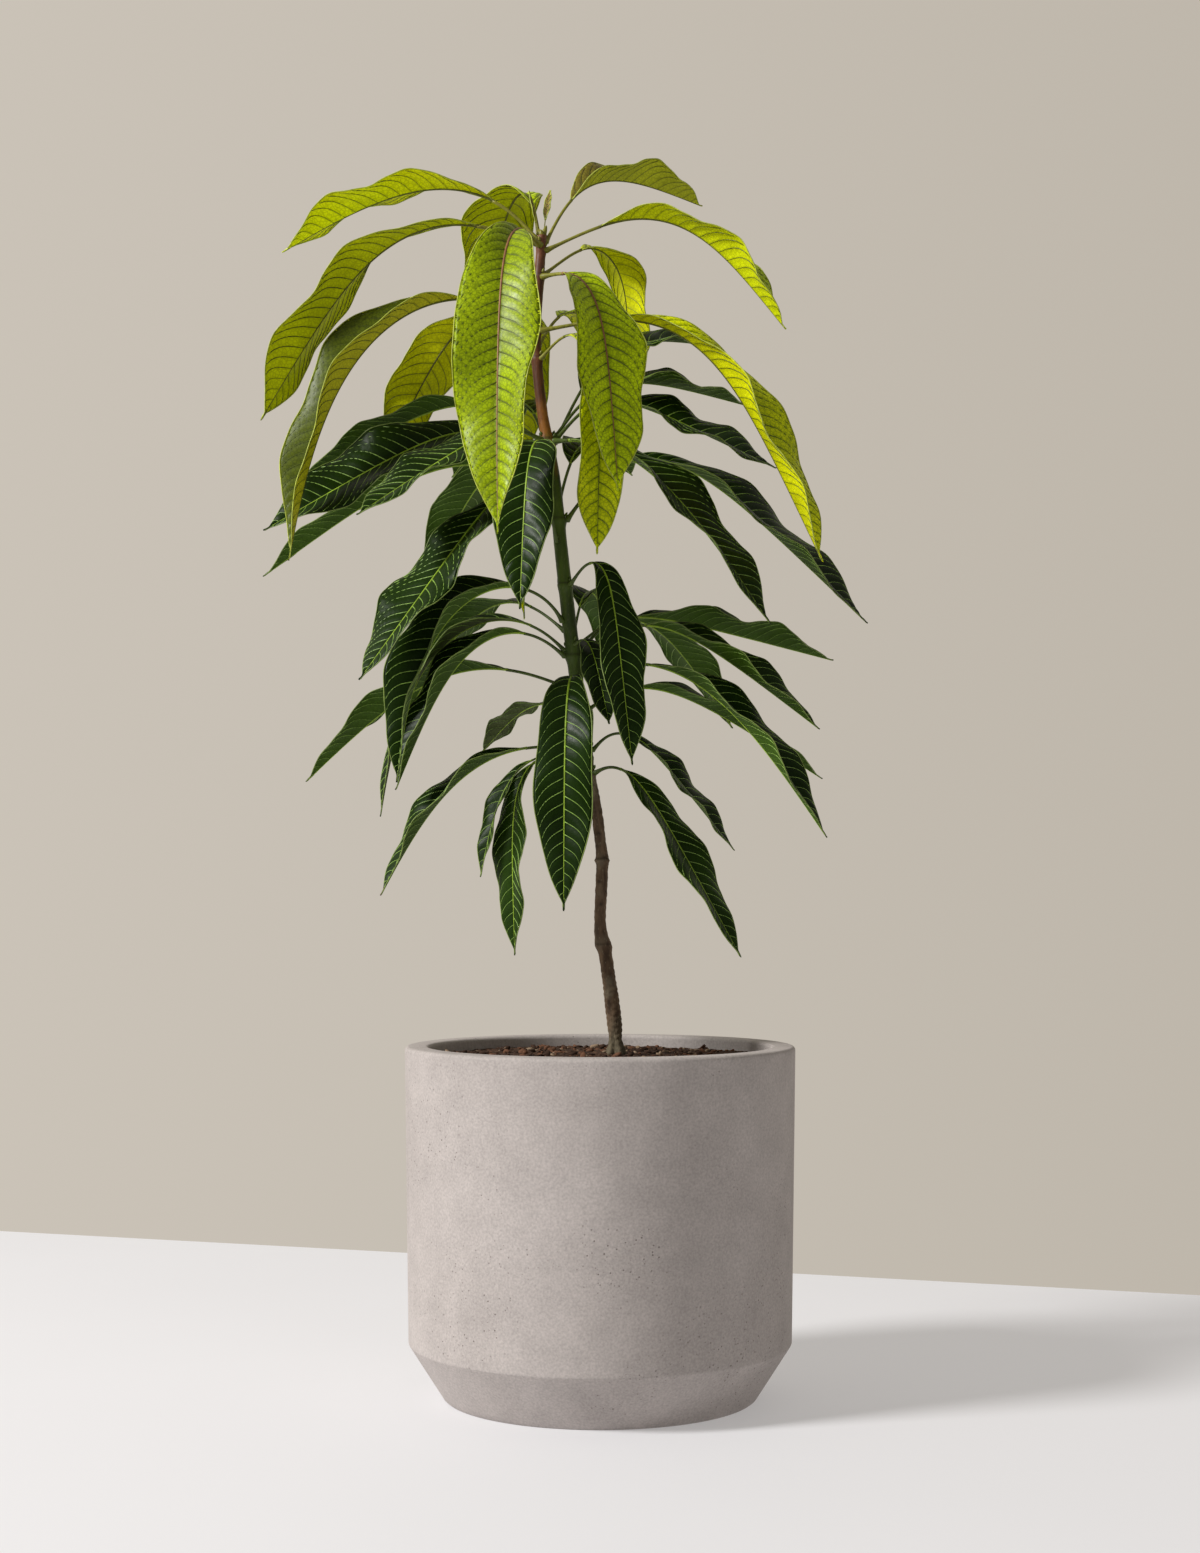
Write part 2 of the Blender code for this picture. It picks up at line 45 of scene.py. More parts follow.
# The pot: a straight tub on a chamfered foot.
POT_HEIGHT = 0.3054
POT_RIM_RADIUS = 0.170
POT_SHOULDER_RADIUS = 0.167
POT_SHOULDER_HEIGHT = 0.0475
POT_BASE_RADIUS = 0.1372
POT_WALL = 0.021
POT_EDGE = 0.0035
POT_BASE_EDGE = (0.0020, 0.0015)
POT_SHOULDER_EDGE = 0.004
POT_SHOULDER_RISE = 0.002
POT_SIDES = 256
POT_STEP = 0.006

# The soil, with a low mound round the trunk.
SOIL_EDGE_HEIGHT = 0.2958
SOIL_TOP_HEIGHT = 0.2992
SOIL_RINGS = 70
SOIL_SIDES = 200
SOIL_ROUGHNESS, SOIL_SINK, SOIL_OVERLAP = 0.0016, 0.001, 0.0005
SOIL_BED_DEPTH, SOIL_RECESS = 0.012, 0.020
# Its lumps and crumbs. Columns: scale, layer of the noise, share.
SOIL_LUMPS = ((38, 0.3, 1.0), (120, 2.0, 0.6), (340, 5.0, 0.5))

# The bark chips on it, with their widths and thicknesses as shares of the length.
CHIP_COUNT = 900
CHIP_SIZES = (0.003, 0.011)
CHIP_WIDTHS, CHIP_THICKNESSES = (0.35, 0.8), (0.12, 0.4)
CHIP_MARGIN, CHIP_FREE_RADIUS = 0.006, 0.014
CHIP_LAYERS = ((-0.5, 0.75), (0.1, 1.0), (0.5, 0.7))
CHIP_TILT = 0.35

# The trunk, as in the solids. Columns: height, x, y, radius.
TRUNK_LINE = (
    (0.299, 0.0138, 0.000, 0.0071),
    (0.310, 0.0133, 0.000, 0.0052),
    (0.322, 0.0127, 0.000, 0.0063),
    (0.345, 0.0101, 0.001, 0.0064),
    (0.358, 0.0084, 0.002, 0.0060),
    (0.386, 0.0042, 0.003, 0.0058),
    (0.396, 0.0020, 0.003, 0.0063),
    (0.406, 0.0003, 0.003, 0.0054),
    (0.420, 0.0000, 0.003, 0.0050),
    (0.445, 0.0011, 0.002, 0.0052),
    (0.467, 0.0017, 0.002, 0.0051),
    (0.485, 0.0000, 0.001, 0.0049),
    (0.510, -0.0033, 0.001, 0.0050),
    (0.557, -0.0121, 0.000, 0.0054),
    (0.660, -0.0252, -0.001, 0.0062),
    (0.740, -0.0343, -0.001, 0.0059),
    (0.798, -0.0400, 0.000, 0.0055),
    (0.834, -0.0462, 0.001, 0.0052),
    (0.860, -0.0508, 0.001, 0.0047),
    (0.921, -0.0563, 0.001, 0.0045),
    (0.978, -0.0533, 0.000, 0.0045),
    (1.013, -0.0508, 0.000, 0.0038),
)
TRUNK_FLARE = 0.0010
TRUNK_FLARE_HEIGHT = 0.010
TRUNK_NODES = (0.392, 0.467, 0.557, 0.607, 0.645, 0.707, 0.764, 0.834, 0.905, 0.977)
NODE_SWELLING = 0.0008
NODE_REACH = 0.004
TRUNK_SIDES = 56
TRUNK_RINGS = 720
TRUNK_SINK = 0.0022

# The relief of the bark: cracks and grain up to the bark's top, wrinkles at the bottom,
# a knob, a ring, a groove over each node, a pad under each leaf, lobes at the foot, and
# scars that wind up the lower trunk.
BARK_TOP = 0.555
BARK_FADE = 0.03
BARK_DEPTH = 0.0004
SMOOTH_SHARE = 0.25
WRINKLE_TOP = 0.375
WRINKLE_DEPTH, WRINKLE_SPACING = 0.00022, 0.0052
KNOB_HEIGHT, KNOB_REACH, KNOB_DEPTH = 0.392, 0.007, 0.0011
RING_HEIGHT, RING_REACH, RING_DEPTH = 0.467, 0.0016, 0.0007
GROOVE_LIFT, GROOVE_REACH, GROOVE_DEPTH, GROOVE_SHADE = 0.0016, 0.0009, 0.00025, 0.55
PAD_DROP, PAD_REACH, PAD_DEPTH = 0.002, 0.0038, 0.0007
PAD_ANGLE, PAD_LIMIT = 34, 0.012
FOOT_HEIGHT, FOOT_DEPTH, FOOT_LOBES = 0.022, 0.0016, 5
SCAR_COUNT, SCAR_START, SCAR_STEP, SCAR_WANDER = 26, 0.415, 0.0052, 0.003
SCAR_TURN, SCAR_ANGLE, SCAR_REACH, SCAR_DEPTH = 2.4, 22, 0.0016, 0.00035
SCAR_SHADE, DARKEST_SCAR = 0.8, 0.9

# The leaves, as in the solids.
STALK_RADIUS = 0.0014
TIP_HALF_WIDTH = 0.0006
ROOT_OFFSET = 0.0009
FINE_STEPS = 240
WAVES = 2.6
WAVE_SHARE = 0.15
MARGIN_LAG = 1.9
NEAR_BULGE = 2.1
FAR_BULGE = 2.4
SEED = 7

# The finer forms of a leaf.
BLADE_ROWS = 150
BLADE_COLUMNS = 20
HALF_THICKNESS = 0.00022
KEEL = 0.06
DRY_START = 0.955
VEIN_SPACING = 0.0105
VEIN_SLANT = 0.55
VEIN_HOOK = 0.55
VEIN_POINTS = 8
VEIN_LIFT = 0.00016
VEIN_START = 0.02
VEIN_END = 0.93
VEIN_ROUNDS = 5
VEIN_HALF_WIDTH = 0.00062
VEIN_HALF_HEIGHTS = (0.00046, 0.00010)
VEIN_ROOM = (0.015, 0.985)
VEIN_FULL_SIZE = 0.03
VEIN_SIZES = (0.6, 1.1)
FEWEST_VEINS = 6
OTHER_SIDE_SHIFT = 0.45
ARCH = 0.16
QUILT = 0.0011
QUILT_WIDTH = 0.06
VALLEY = 0.12
FINE_WAVE_SHARE = 0.014
FINE_WAVES = 9
LOBE_SHARE = 0.05
BODY_END = 0.975
DRIP_SHARE = 0.13
DRIP_LENGTH = 0.13
MARGIN_POINTS, MARGIN_RADIUS, MARGIN_ENDS = 84, 0.00052, (0.01, 0.995)
RIB_POINTS, RIB_SIDES, RIB_END, RIB_RISE, RIB_TAPER = 90, 10, 0.985, 0.20, 0.70
STALK_POINTS, STALK_SIDES, STALK_SINK = 16, 12, 0.0025
STALK_WIDTH = 0.055
STALK_SWELLING_REACH = 0.006
STALK_OVERLAP, STALK_LEAST = 1.03, 0.95
BUD_RINGS, BUD_SIDES = 9, 10

# The bud over each leaf, and the three at the tip. Columns: turn in radians, length.
LEAF_BUD_LENGTH, LEAF_BUD_RADIUS = 0.0042, 0.0013
LEAF_BUD_SINK, LEAF_BUD_RISE = 0.0006, 0.0035
TIP_BUDS = ((0.4, 0.013), (2.5, 0.010), (4.4, 0.008))
TIP_BUD_RADIUS, TIP_BUD_SINK, TIP_BUD_LEAN = 0.0024, 0.003, 0.35


@dataclass
class Leaf:
    """One leaf: where and how it leaves the trunk, its size, its turns and its kind.

    The line starts at the slope rise and ends at the slope fall. It turns between them
    round the share `at` of its length, the more sharply the larger snap is. Swing turns
    it sideways, and roll and twist turn the blade about its line.
    """

    height: float
    heading: float
    length: float
    rise: float
    fall: float
    width: float
    stalk: float
    at: float = 0.30
    snap: float = 2.0
    swing: float = 0.0
    roll: float = 0.0
    twist: float = 0.0
    fold: float = 14.0
    widest: float = 0.48
    tint: str = ""
    rib: str = "pale"
    tip: str = ""
    phase: float = 0.0


# The masses of leaves. Columns: height, heading, length, rise, fall, width, stalk.
TIP_LEAVES = (
    Leaf(1.010, 178, 0.200, 50, -30, 0.058, 0.050, at=0.32, snap=1.6, roll=6, fold=20, widest=0.64),
    Leaf(1.006, 187, 0.272, 18, -60, 0.069, 0.052, at=0.32, roll=-20, twist=66, widest=0.60, tint="fresh"),
    Leaf(
        1.004, 248, 0.312, 8, -82, 0.075, 0.035,
        at=0.20, snap=2.2, swing=32, roll=-35, twist=84, fold=18, rib="red", tint="clear",
    ),
    Leaf(1.010, 118, 0.168, 72, -72, 0.070, 0.036, at=0.34, snap=2.6, tint="fresh"),
    Leaf(1.008, 40, 0.166, 60, -6, 0.054, 0.050, at=0.38, roll=8, fold=38, tint="mottled"),
    Leaf(
        1.000, 354, 0.203, 24, -52, 0.060, 0.050,
        at=0.42, snap=2.2, roll=4, fold=28, widest=0.68, tint="fresh",
    ),
    Leaf(1.011, 150, 0.030, 84, 76, 0.004, 0.014, tint="shoot"),
    Leaf(1.011, 70, 0.032, 84, 66, 0.006, 0.018, tint="shoot"),
)

YOUNG_LEAVES = (
    # This leaf's dark upper face is mostly painted shade, and its bright underside is painted light shining
    # through it.
    Leaf(
        0.942, 196, 0.300, 22, -80, 0.062, 0.060,
        at=0.30, snap=1.4, roll=-18, fold=42, widest=0.42, tint="olive",
    ),
    Leaf(0.935, 150, 0.160, 34, -58, 0.056, 0.055, at=0.26, roll=30, fold=10),
    Leaf(0.980, 47, 0.175, 36, -90, 0.052, 0.055, at=0.41, snap=3.0, roll=10, fold=12),
    Leaf(
        0.976, 311, 0.224, -4, -84, 0.066, 0.026,
        at=0.24, snap=2.2, roll=10, fold=12, rib="red", tint="fresh",
    ),
    Leaf(0.905, 314, 0.216, 32, -92, 0.040, 0.032, at=0.21, snap=2.5, roll=25, widest=0.70),
    Leaf(0.930, 350, 0.302, 8, -65, 0.070, 0.060, at=0.33, snap=2.4, roll=12, fold=30, widest=0.62),
    Leaf(0.950, 98, 0.195, 20, -58, 0.058, 0.055, at=0.34, tint="fresh"),
    Leaf(0.918, 64, 0.185, 46, -30, 0.056, 0.050, at=0.36, tint="fresh"),
)

UPPER_LEAVES = (
    Leaf(0.834, 167, 0.185, 38, -26, 0.046, 0.058, at=0.30, snap=2.5, roll=-6, fold=30),
    Leaf(0.822, 187, 0.215, 24, -31, 0.070, 0.052, at=0.25, snap=2.5, roll=-46),
    Leaf(0.834, 214, 0.176, 20, -34, 0.062, 0.030, at=0.15, roll=-14, fold=12),
    Leaf(0.813, 256, 0.180, 30, -82, 0.054, 0.030, at=0.24, snap=2.2, fold=12, widest=0.38),
    Leaf(0.830, 110, 0.190, 52, -28, 0.056, 0.045, at=0.36, swing=14, fold=12),
    Leaf(0.832, 26, 0.140, 64, 0, 0.056, 0.055, at=0.55, roll=24, fold=16),
    Leaf(0.836, 20, 0.152, 55, -10, 0.056, 0.055, at=0.34, snap=2.2, roll=18, fold=22),
    Leaf(0.834, 8, 0.172, 50, -24, 0.064, 0.050, at=0.25, snap=3.0, roll=30, fold=12),
    Leaf(0.833, 341, 0.256, 0, -56, 0.070, 0.012, at=0.23, snap=1.5, roll=14, fold=16),
)

MIDDLE_LEAVES = (
    Leaf(0.790, 170, 0.230, 30, -34, 0.056, 0.060, at=0.28, fold=22),
    Leaf(0.782, 218, 0.228, 30, -51, 0.076, 0.050, at=0.12, snap=2.5, roll=-6, fold=10),
    Leaf(0.744, 245, 0.150, 62, -95, 0.024, 0.030, at=0.34, snap=2.5, roll=30, fold=20, tint="lime"),
    Leaf(0.764, 6, 0.270, 55, -43, 0.070, 0.070, at=0.26, snap=2.5, roll=24, fold=18, widest=0.60),
    Leaf(0.792, 125, 0.205, 38, -44, 0.056, 0.050, at=0.34),
    Leaf(0.780, 72, 0.195, 56, -8, 0.054, 0.050, at=0.36),
)

LOWER_LEAVES = (
    Leaf(0.675, 211, 0.228, 58, -84, 0.056, 0.052, at=0.26, snap=1.2, roll=-16, fold=44, widest=0.42),
    Leaf(0.650, 181, 0.245, 46, -81, 0.046, 0.036, at=0.29, snap=1.5, roll=-10, fold=20, tint="grey"),
    Leaf(0.645, 190, 0.190, 40, -68, 0.050, 0.040, at=0.26, snap=1.8, roll=-12, fold=34),
    Leaf(0.707, 308, 0.195, 38, -80, 0.044, 0.032, at=0.18, snap=3.0, roll=8),
    Leaf(0.650, 12, 0.185, 50, -13, 0.060, 0.060, at=0.18, snap=2.5, roll=8, fold=34),
    Leaf(0.646, 350, 0.180, 38, -38, 0.052, 0.062, at=0.25, snap=2.2, roll=10, fold=30),
    Leaf(0.630, 345, 0.224, 17, -56, 0.056, 0.058, at=0.27, snap=1.6, roll=8, fold=28),
    Leaf(0.655, 296, 0.098, 16, -66, 0.030, 0.012, at=0.20, roll=10, tint="grey"),
    Leaf(0.662, 74, 0.150, 60, -50, 0.042, 0.035, at=0.40),
    Leaf(0.668, 140, 0.205, 36, -50, 0.050, 0.045, at=0.34),
    Leaf(0.655, 46, 0.200, 34, -44, 0.050, 0.045, at=0.34),
)

BOTTOM_LEAVES = (
    Leaf(0.617, 163, 0.224, 22, -41, 0.056, 0.060, at=0.36, snap=1.8, fold=22),
    Leaf(0.598, 14, 0.196, 36, -31, 0.050, 0.045, at=0.22, roll=10, fold=26),
    Leaf(0.607, 263, 0.235, 38, -88, 0.050, 0.025, at=0.20, snap=2.2, fold=12, widest=0.52),
    Leaf(0.600, 142, 0.088, 14, -40, 0.036, 0.030, at=0.40, fold=12, tint="grey"),
    Leaf(0.564, 190, 0.188, 6, -62, 0.050, 0.045, at=0.35, snap=1.6, roll=-6, fold=22, tip="brown"),
    Leaf(0.558, 205, 0.116, 6, -78, 0.024, 0.045, at=0.33, snap=1.8, roll=-10, fold=24),
    Leaf(0.556, 217, 0.172, 6, -92, 0.042, 0.050, at=0.25, snap=2.5, fold=12, tint="mild"),
    Leaf(0.563, 15, 0.145, 48, -50, 0.044, 0.035, at=0.17, snap=2.5, roll=30),
    Leaf(0.543, 325, 0.204, 24, -57, 0.048, 0.028, at=0.11, roll=4, fold=12, widest=0.42, tint="mild"),
    Leaf(0.590, 96, 0.210, 32, -74, 0.048, 0.040, at=0.32),
)

# The mass of leaves that stands for each node, the kind of leaf that most of them are,
# and whether they belong to the young flush.
MASSES = {
    "tip_leaves": (TIP_LEAVES, "lime", "young"),
    "young_leaves": (YOUNG_LEAVES, "lime", "young"),
    "upper_leaves": (UPPER_LEAVES, "deep", "old"),
    "middle_leaves": (MIDDLE_LEAVES, "deep", "old"),
    "lower_leaves": (LOWER_LEAVES, "deep", "old"),
    "bottom_leaves": (BOTTOM_LEAVES, "deep", "old"),
}

# Colours of a blade: its upper face, the shade along its veins, and its underside. All the young kinds but
# the shoot hold painted light: their undersides, and the lime and fresh upper faces, are painted far
# brighter than a leaf's own colour, to stand for the light that shines through the thin young blades.
BLADE_COLOURS = {
    "lime": ((0.780, 0.870, 0.001), (0.200, 0.280, 0.001), (0.870, 0.900, 0.002)),
    "clear": ((0.340, 0.450, 0.002), (0.085, 0.125, 0.001), (0.520, 0.600, 0.002)),
    "fresh": ((0.600, 0.780, 0.002), (0.130, 0.200, 0.001), (0.720, 0.800, 0.002)),
    # This young kind's dark upper face is mostly painted shade, on a blade much like the lime one; its
    # bright underside is painted light shining through.
    "olive": ((0.100, 0.130, 0.004), (0.040, 0.055, 0.003), (0.680, 0.660, 0.020)),
    "mottled": ((0.240, 0.210, 0.020), (0.090, 0.050, 0.015), (0.560, 0.600, 0.020)),
    "shoot": ((0.300, 0.260, 0.050), (0.250, 0.120, 0.050), (0.330, 0.260, 0.080)),
    "deep": ((0.010, 0.027, 0.001), (0.004, 0.012, 0.001), (0.055, 0.115, 0.008)),
    "mild": ((0.017, 0.042, 0.002), (0.007, 0.019, 0.001), (0.070, 0.130, 0.010)),
    "grey": ((0.018, 0.033, 0.009), (0.008, 0.015, 0.004), (0.100, 0.130, 0.042)),
}
YOUNG_TINTS = ("lime", "clear", "fresh", "olive", "mottled", "shoot")
PART_COLOURS = {
    "veins": {"young": (0.100, 0.130, 0.004), "old": (0.280, 0.460, 0.080)},
    "ribs": {"young": (0.150, 0.160, 0.008), "old": (0.340, 0.520, 0.030)},
    "margins": {"young": (0.540, 0.610, 0.080), "old": (0.210, 0.290, 0.060)},
    "stalks": {"young": (0.260, 0.250, 0.025), "old": (0.095, 0.140, 0.022)},
}
REDDISH_RIB = (0.330, 0.150, 0.060)
WITHERED = ((0.110, 0.050, 0.020), (0.045, 0.022, 0.012))

# Colours of the bark, each with its darker patches, from the foot up to the tip.
OLD_BARK = ((0.200, 0.130, 0.078), (0.085, 0.052, 0.032))
PALE_BARK = (0.260, 0.220, 0.150)
GREEN_BARK = ((0.080, 0.125, 0.020), (0.040, 0.060, 0.014))
RUST_BARK = ((0.330, 0.130, 0.026), (0.180, 0.062, 0.016))
MAROON_BARK = ((0.180, 0.066, 0.030), (0.080, 0.030, 0.018))
FOOT_BARK = (0.100, 0.095, 0.060)
BARK_SPECKS = (0.260, 0.210, 0.130)
BARK_SCARS = (0.030, 0.020, 0.013)

# The heights at which one bark gives way to the next.
GREEN_FROM = (0.535, 0.580)
RUST_FROM = (0.815, 0.835)
MAROON_FROM = (0.855, 0.875)
FOOT_UP_TO = (0.300, 0.330)

POT_COLOURS = ((0.465, 0.420, 0.400), (0.412, 0.370, 0.350))
PINHOLES = (0.105, 0.085, 0.074)
SOIL_COLOURS = ((0.080, 0.042, 0.025), (0.034, 0.019, 0.013))
SOIL_CRUMBS = (0.190, 0.110, 0.065)

# The chips on the soil: colour, roughness, gloss and share of all the chips.
CHIP_KINDS = {
    "dark": ((0.060, 0.032, 0.020), 0.90, 0.15, 0.55),
    "reddish": ((0.160, 0.075, 0.042), 0.90, 0.15, 0.33),
    "light": ((0.330, 0.230, 0.150), 0.85, 0.20, 0.12),
}

# The floor, whose back edge shows behind the pot, with a little light of its own that
# softens the shadow on it.
FLOOR_OUTLINE = ((-1.60, -2.60), (1.60, -2.60), (1.60, 0.184), (-1.60, 1.266))
FLOOR_THICKNESS = 0.02
FLOOR_COLOUR = (0.53, 0.527, 0.545)
FLOOR_GLOW = (1.0, 0.975, 0.965, 1.0)
FLOOR_GLOW_STRENGTH = 0.28

# The light of the backdrop in front of the camera, and of the room behind it, and the
# shares of the view's direction over which one gives way to the other.
BACKDROP_LEFT = (0.595, 0.545, 0.477)
BACKDROP_RIGHT = (0.515, 0.470, 0.405)
STUDIO = (0.240, 0.232, 0.216)
LEFT_TO_RIGHT = (-0.27, 0.27)
BACK_TO_FRONT = (-0.2, 0.6)

KEY_PLACE = (-4.5, -2.0, 3.8)
KEY_AIM = (0.0, 0.0, 0.5)
KEY_SIZE = 1.4
KEY_WATTS = 400.0
KEY_COLOUR = (1.0, 0.992, 0.975)


class Sheaf:
    """Collects the points, faces, map coordinates and point values of one joined mesh."""

    def __init__(self):
        self.points = []
        self.faces = []
        self.maps = []
        self.slots = []
        self.values = {}
        self.count = 0

    def add(self, points, groups, **values):
        """groups is [(faces, map corners or None, slot)], with the faces as rows of point numbers."""
        for faces, corners, slot in groups:
            self.faces.append(faces + self.count)
            self.maps.append(np.zeros((*faces.shape, 2)) if corners is None else corners)
            self.slots.append(np.full(len(faces), slot))
        for name, value in values.items():
            self.values.setdefault(name, []).append(value)
        self.points.append(points)
        self.count += len(points)

    def build(self, name, materials):
        mesh = bpy.data.meshes.new(name)
        points = np.concatenate(self.points)
        sizes = np.concatenate([np.full(len(f), f.shape[1]) for f in self.faces])
        mesh.vertices.add(len(points))
        mesh.vertices.foreach_set("co", points.ravel())
        mesh.loops.add(int(sizes.sum()))
        mesh.loops.foreach_set("vertex_index", np.concatenate([f.ravel() for f in self.faces]))
        mesh.polygons.add(len(sizes))
        mesh.polygons.foreach_set("loop_start", np.concatenate(([0], np.cumsum(sizes)[:-1])))
        for material in materials:
            mesh.materials.append(material)
        mesh.polygons.foreach_set("material_index", np.concatenate(self.slots))
        mesh.update(calc_edges=True)
        for key, parts in self.values.items():
            data = mesh.attributes.new(key, "FLOAT", "POINT").data
            data.foreach_set("value", np.concatenate(parts).ravel())
        if any(m.any() for m in self.maps):
            layer = mesh.uv_layers.new(name="OFBake")
            layer.data.foreach_set("uv", np.concatenate([m.reshape(-1, 2) for m in self.maps]).ravel())
        mesh.shade_smooth()
        obj = bpy.data.objects.new(name, mesh)
        bpy.context.scene.collection.objects.link(obj)
        return obj


def place(obj, slot, *nodes):
    """Sets a piece on the plant's body, in place of the nodes that it stands for. The slot is not used."""
    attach(obj, "root")
    if nodes:
        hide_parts(*nodes)


def unit(vectors):
    return vectors / np.maximum(np.linalg.norm(vectors, axis=-1, keepdims=True), 1e-12)


def ring_faces(rings, sides):
    """Four-cornered faces between the rings of a tube, whose points run round the way ahead."""
    low = np.arange((rings - 1) * sides).reshape(rings - 1, sides)
    after = np.roll(low, -1, axis=1)
    return np.stack((low, after, after + sides, low + sides), axis=-1).reshape(-1, 4)


def closed_rings(rings, sides):
    """The face groups of a tube of rings, with a flat face on each end."""
    start = np.arange(sides)[::-1].reshape(1, -1)
    end = ((rings - 1) * sides + np.arange(sides)).reshape(1, -1)
    return [(faces, None, 0) for faces in (ring_faces(rings, sides), start, end)]


def heading_vector(angle):
    """The level unit vector at an angle in degrees."""
    turn = math.radians(angle)
    return np.array((math.cos(turn), math.sin(turn), 0.0))


def bell(value, middle, reach):
    """A smooth bump round the middle, 1 high, that falls off over the reach."""
    return np.exp(-(((value - middle) / reach) ** 2))


def turn_gap(turns, turn):
    """The turns' distances from one turn, all in radians, as angles in degrees."""
    return np.degrees(np.angle(np.exp(1j * (turns - turn))))


def tube(centres, across, upper, radii, sides):
    """Points and face groups of a closed round tube along the centres."""
    turns = 2 * math.pi * np.arange(sides) / sides
    spread = np.cos(turns)[None, :, None] * across[:, None] + np.sin(turns)[None, :, None] * upper[:, None]
    points = (centres[:, None] + radii[:, None, None] * spread).reshape(-1, 3)
    return points, closed_rings(len(centres), sides)


def ridges(paths, normals, half_widths, half_heights):
    """Points and face groups of thin four-sided ridges along several paths at once."""
    count, steps = paths.shape[:2]
    ahead = unit(np.gradient(paths, axis=1))
    side = unit(np.cross(normals, ahead))
    wide = side * half_widths[..., None]
    high = normals * half_heights[..., None]
    corners = np.stack((paths - wide, paths - high, paths + wide, paths + high), axis=2)
    one = ring_faces(steps, 4)
    stride = steps * 4
    offsets = stride * np.arange(count)[:, None, None]
    start = np.array([[3, 2, 1, 0]])
    end = np.array([[0, 1, 2, 3]]) + stride - 4
    faces = np.concatenate((one, start, end))
    return corners.reshape(-1, 3), [((faces[None] + offsets).reshape(-1, 4), None, 0)]


def smooth_between(rows, height):
    """The row of values at a height, on a smooth curve through the rows."""
    heights = [row[0] for row in rows]
    i = int(np.clip(np.searchsorted(heights, height) - 1, 0, len(rows) - 2))
    before = np.array(rows[max(i - 1, 0)])
    start = np.array(rows[i])
    end = np.array(rows[i + 1])
    after = np.array(rows[min(i + 2, len(rows) - 1)])
    gap = end[0] - start[0]
    s = (height - start[0]) / gap
    slope_in = (end - before) / (end[0] - before[0]) * gap
    slope_out = (after - start) / (after[0] - start[0]) * gap
    value = start * (2 * s**3 - 3 * s**2 + 1) + end * (3 * s**2 - 2 * s**3)
    value += slope_in * (s**3 - 2 * s**2 + s) + slope_out * (s**3 - s**2)
    return value[1:]


def trunk_at(height):
    """The trunk's centre and radius at a height."""
    x, y, radius = smooth_between(TRUNK_LINE, height)
    radius += TRUNK_FLARE * math.exp(-(height - TRUNK_LINE[0][0]) / TRUNK_FLARE_HEIGHT)
    for node in TRUNK_NODES:
        radius += NODE_SWELLING * bell(height, node, NODE_REACH)
    return np.array((x, y, height)), radius


def leaf_frames(leaf, s):
    """Unit vectors along, across and out of the upper face of the leaf at the shares s."""
    ratio = leaf.at / (1 - leaf.at)
    done = s**leaf.snap
    share = done / (done + (ratio * np.maximum(0.0, 1 - s)) ** leaf.snap)
    slope = np.radians(leaf.rise + (leaf.fall - leaf.rise) * share)
    heading = np.radians(leaf.heading + leaf.swing * s)
    flat = np.cos(slope)
    along = np.stack((flat * np.cos(heading), flat * np.sin(heading), np.sin(slope)), axis=-1)
    across = np.stack((-np.sin(heading), np.cos(heading), 0 * heading), axis=-1)
    upper = np.cross(along, across)
    roll = np.radians(leaf.roll + leaf.twist * s)[..., None]
    return (
        along,
        across * np.cos(roll) + upper * np.sin(roll),
        upper * np.cos(roll) - across * np.sin(roll),
    )


def leaf_line(leaf):
    """Points down the middle of the leaf, a fine step apart, from the trunk's surface."""
    centre, radius = trunk_at(leaf.height)
    root = centre + (radius + ROOT_OFFSET) * heading_vector(leaf.heading)
    middles = (np.arange(FINE_STEPS) + 0.5) / FINE_STEPS
    steps = leaf_frames(leaf, middles)[0] * (leaf.stalk + leaf.length) / FINE_STEPS
    return root + np.concatenate((np.zeros((1, 3)), np.cumsum(steps, axis=0)))


def on_line(line, s):
    """Points of the line at the shares s."""
    place_on = np.clip(s, 0, 1) * FINE_STEPS
    return np.stack([np.interp(place_on, np.arange(FINE_STEPS + 1), line[:, k]) for k in range(3)], axis=-1)


def blade_share(t, widest):
    """The share of the full half width at t along the blade, from 0 at the stalk to 1 at the tip."""
    near = 1 - np.maximum(0.0, (widest - t) / widest) ** NEAR_BULGE
    far = 1 - np.maximum(0.0, (t - widest) / (BODY_END - widest)) ** FAR_BULGE
    drip = DRIP_SHARE * np.clip((1 - t) / DRIP_LENGTH, 0, 1)
    return np.maximum(0.0, np.minimum(near, np.maximum(far, drip)))


def vein_slant(leaf, t, away):
    """How far towards the tip a side vein has run at this share of the half width.

    It is a share of the blade's length.
    """
    half = 0.5 * leaf.width / leaf.length * blade_share(t, leaf.widest)
    return half * (VEIN_SLANT * away + VEIN_HOOK * away**4)


def vein_count(leaf):
    return max(FEWEST_VEINS, round(leaf.length / VEIN_SPACING))


def vein_number(leaf, t, v):
    """Which side vein a point lies by: whole numbers lie on the veins."""
    shift = np.where(v < 0, OTHER_SIDE_SHIFT, 0.0)
    return vein_count(leaf) * (t - vein_slant(leaf, t, np.abs(v))) + shift


def line_share(leaf, t):
    """The share of the whole line, stalk and blade, at t along the blade."""
    return (leaf.stalk + t * leaf.length) / (leaf.stalk + leaf.length)


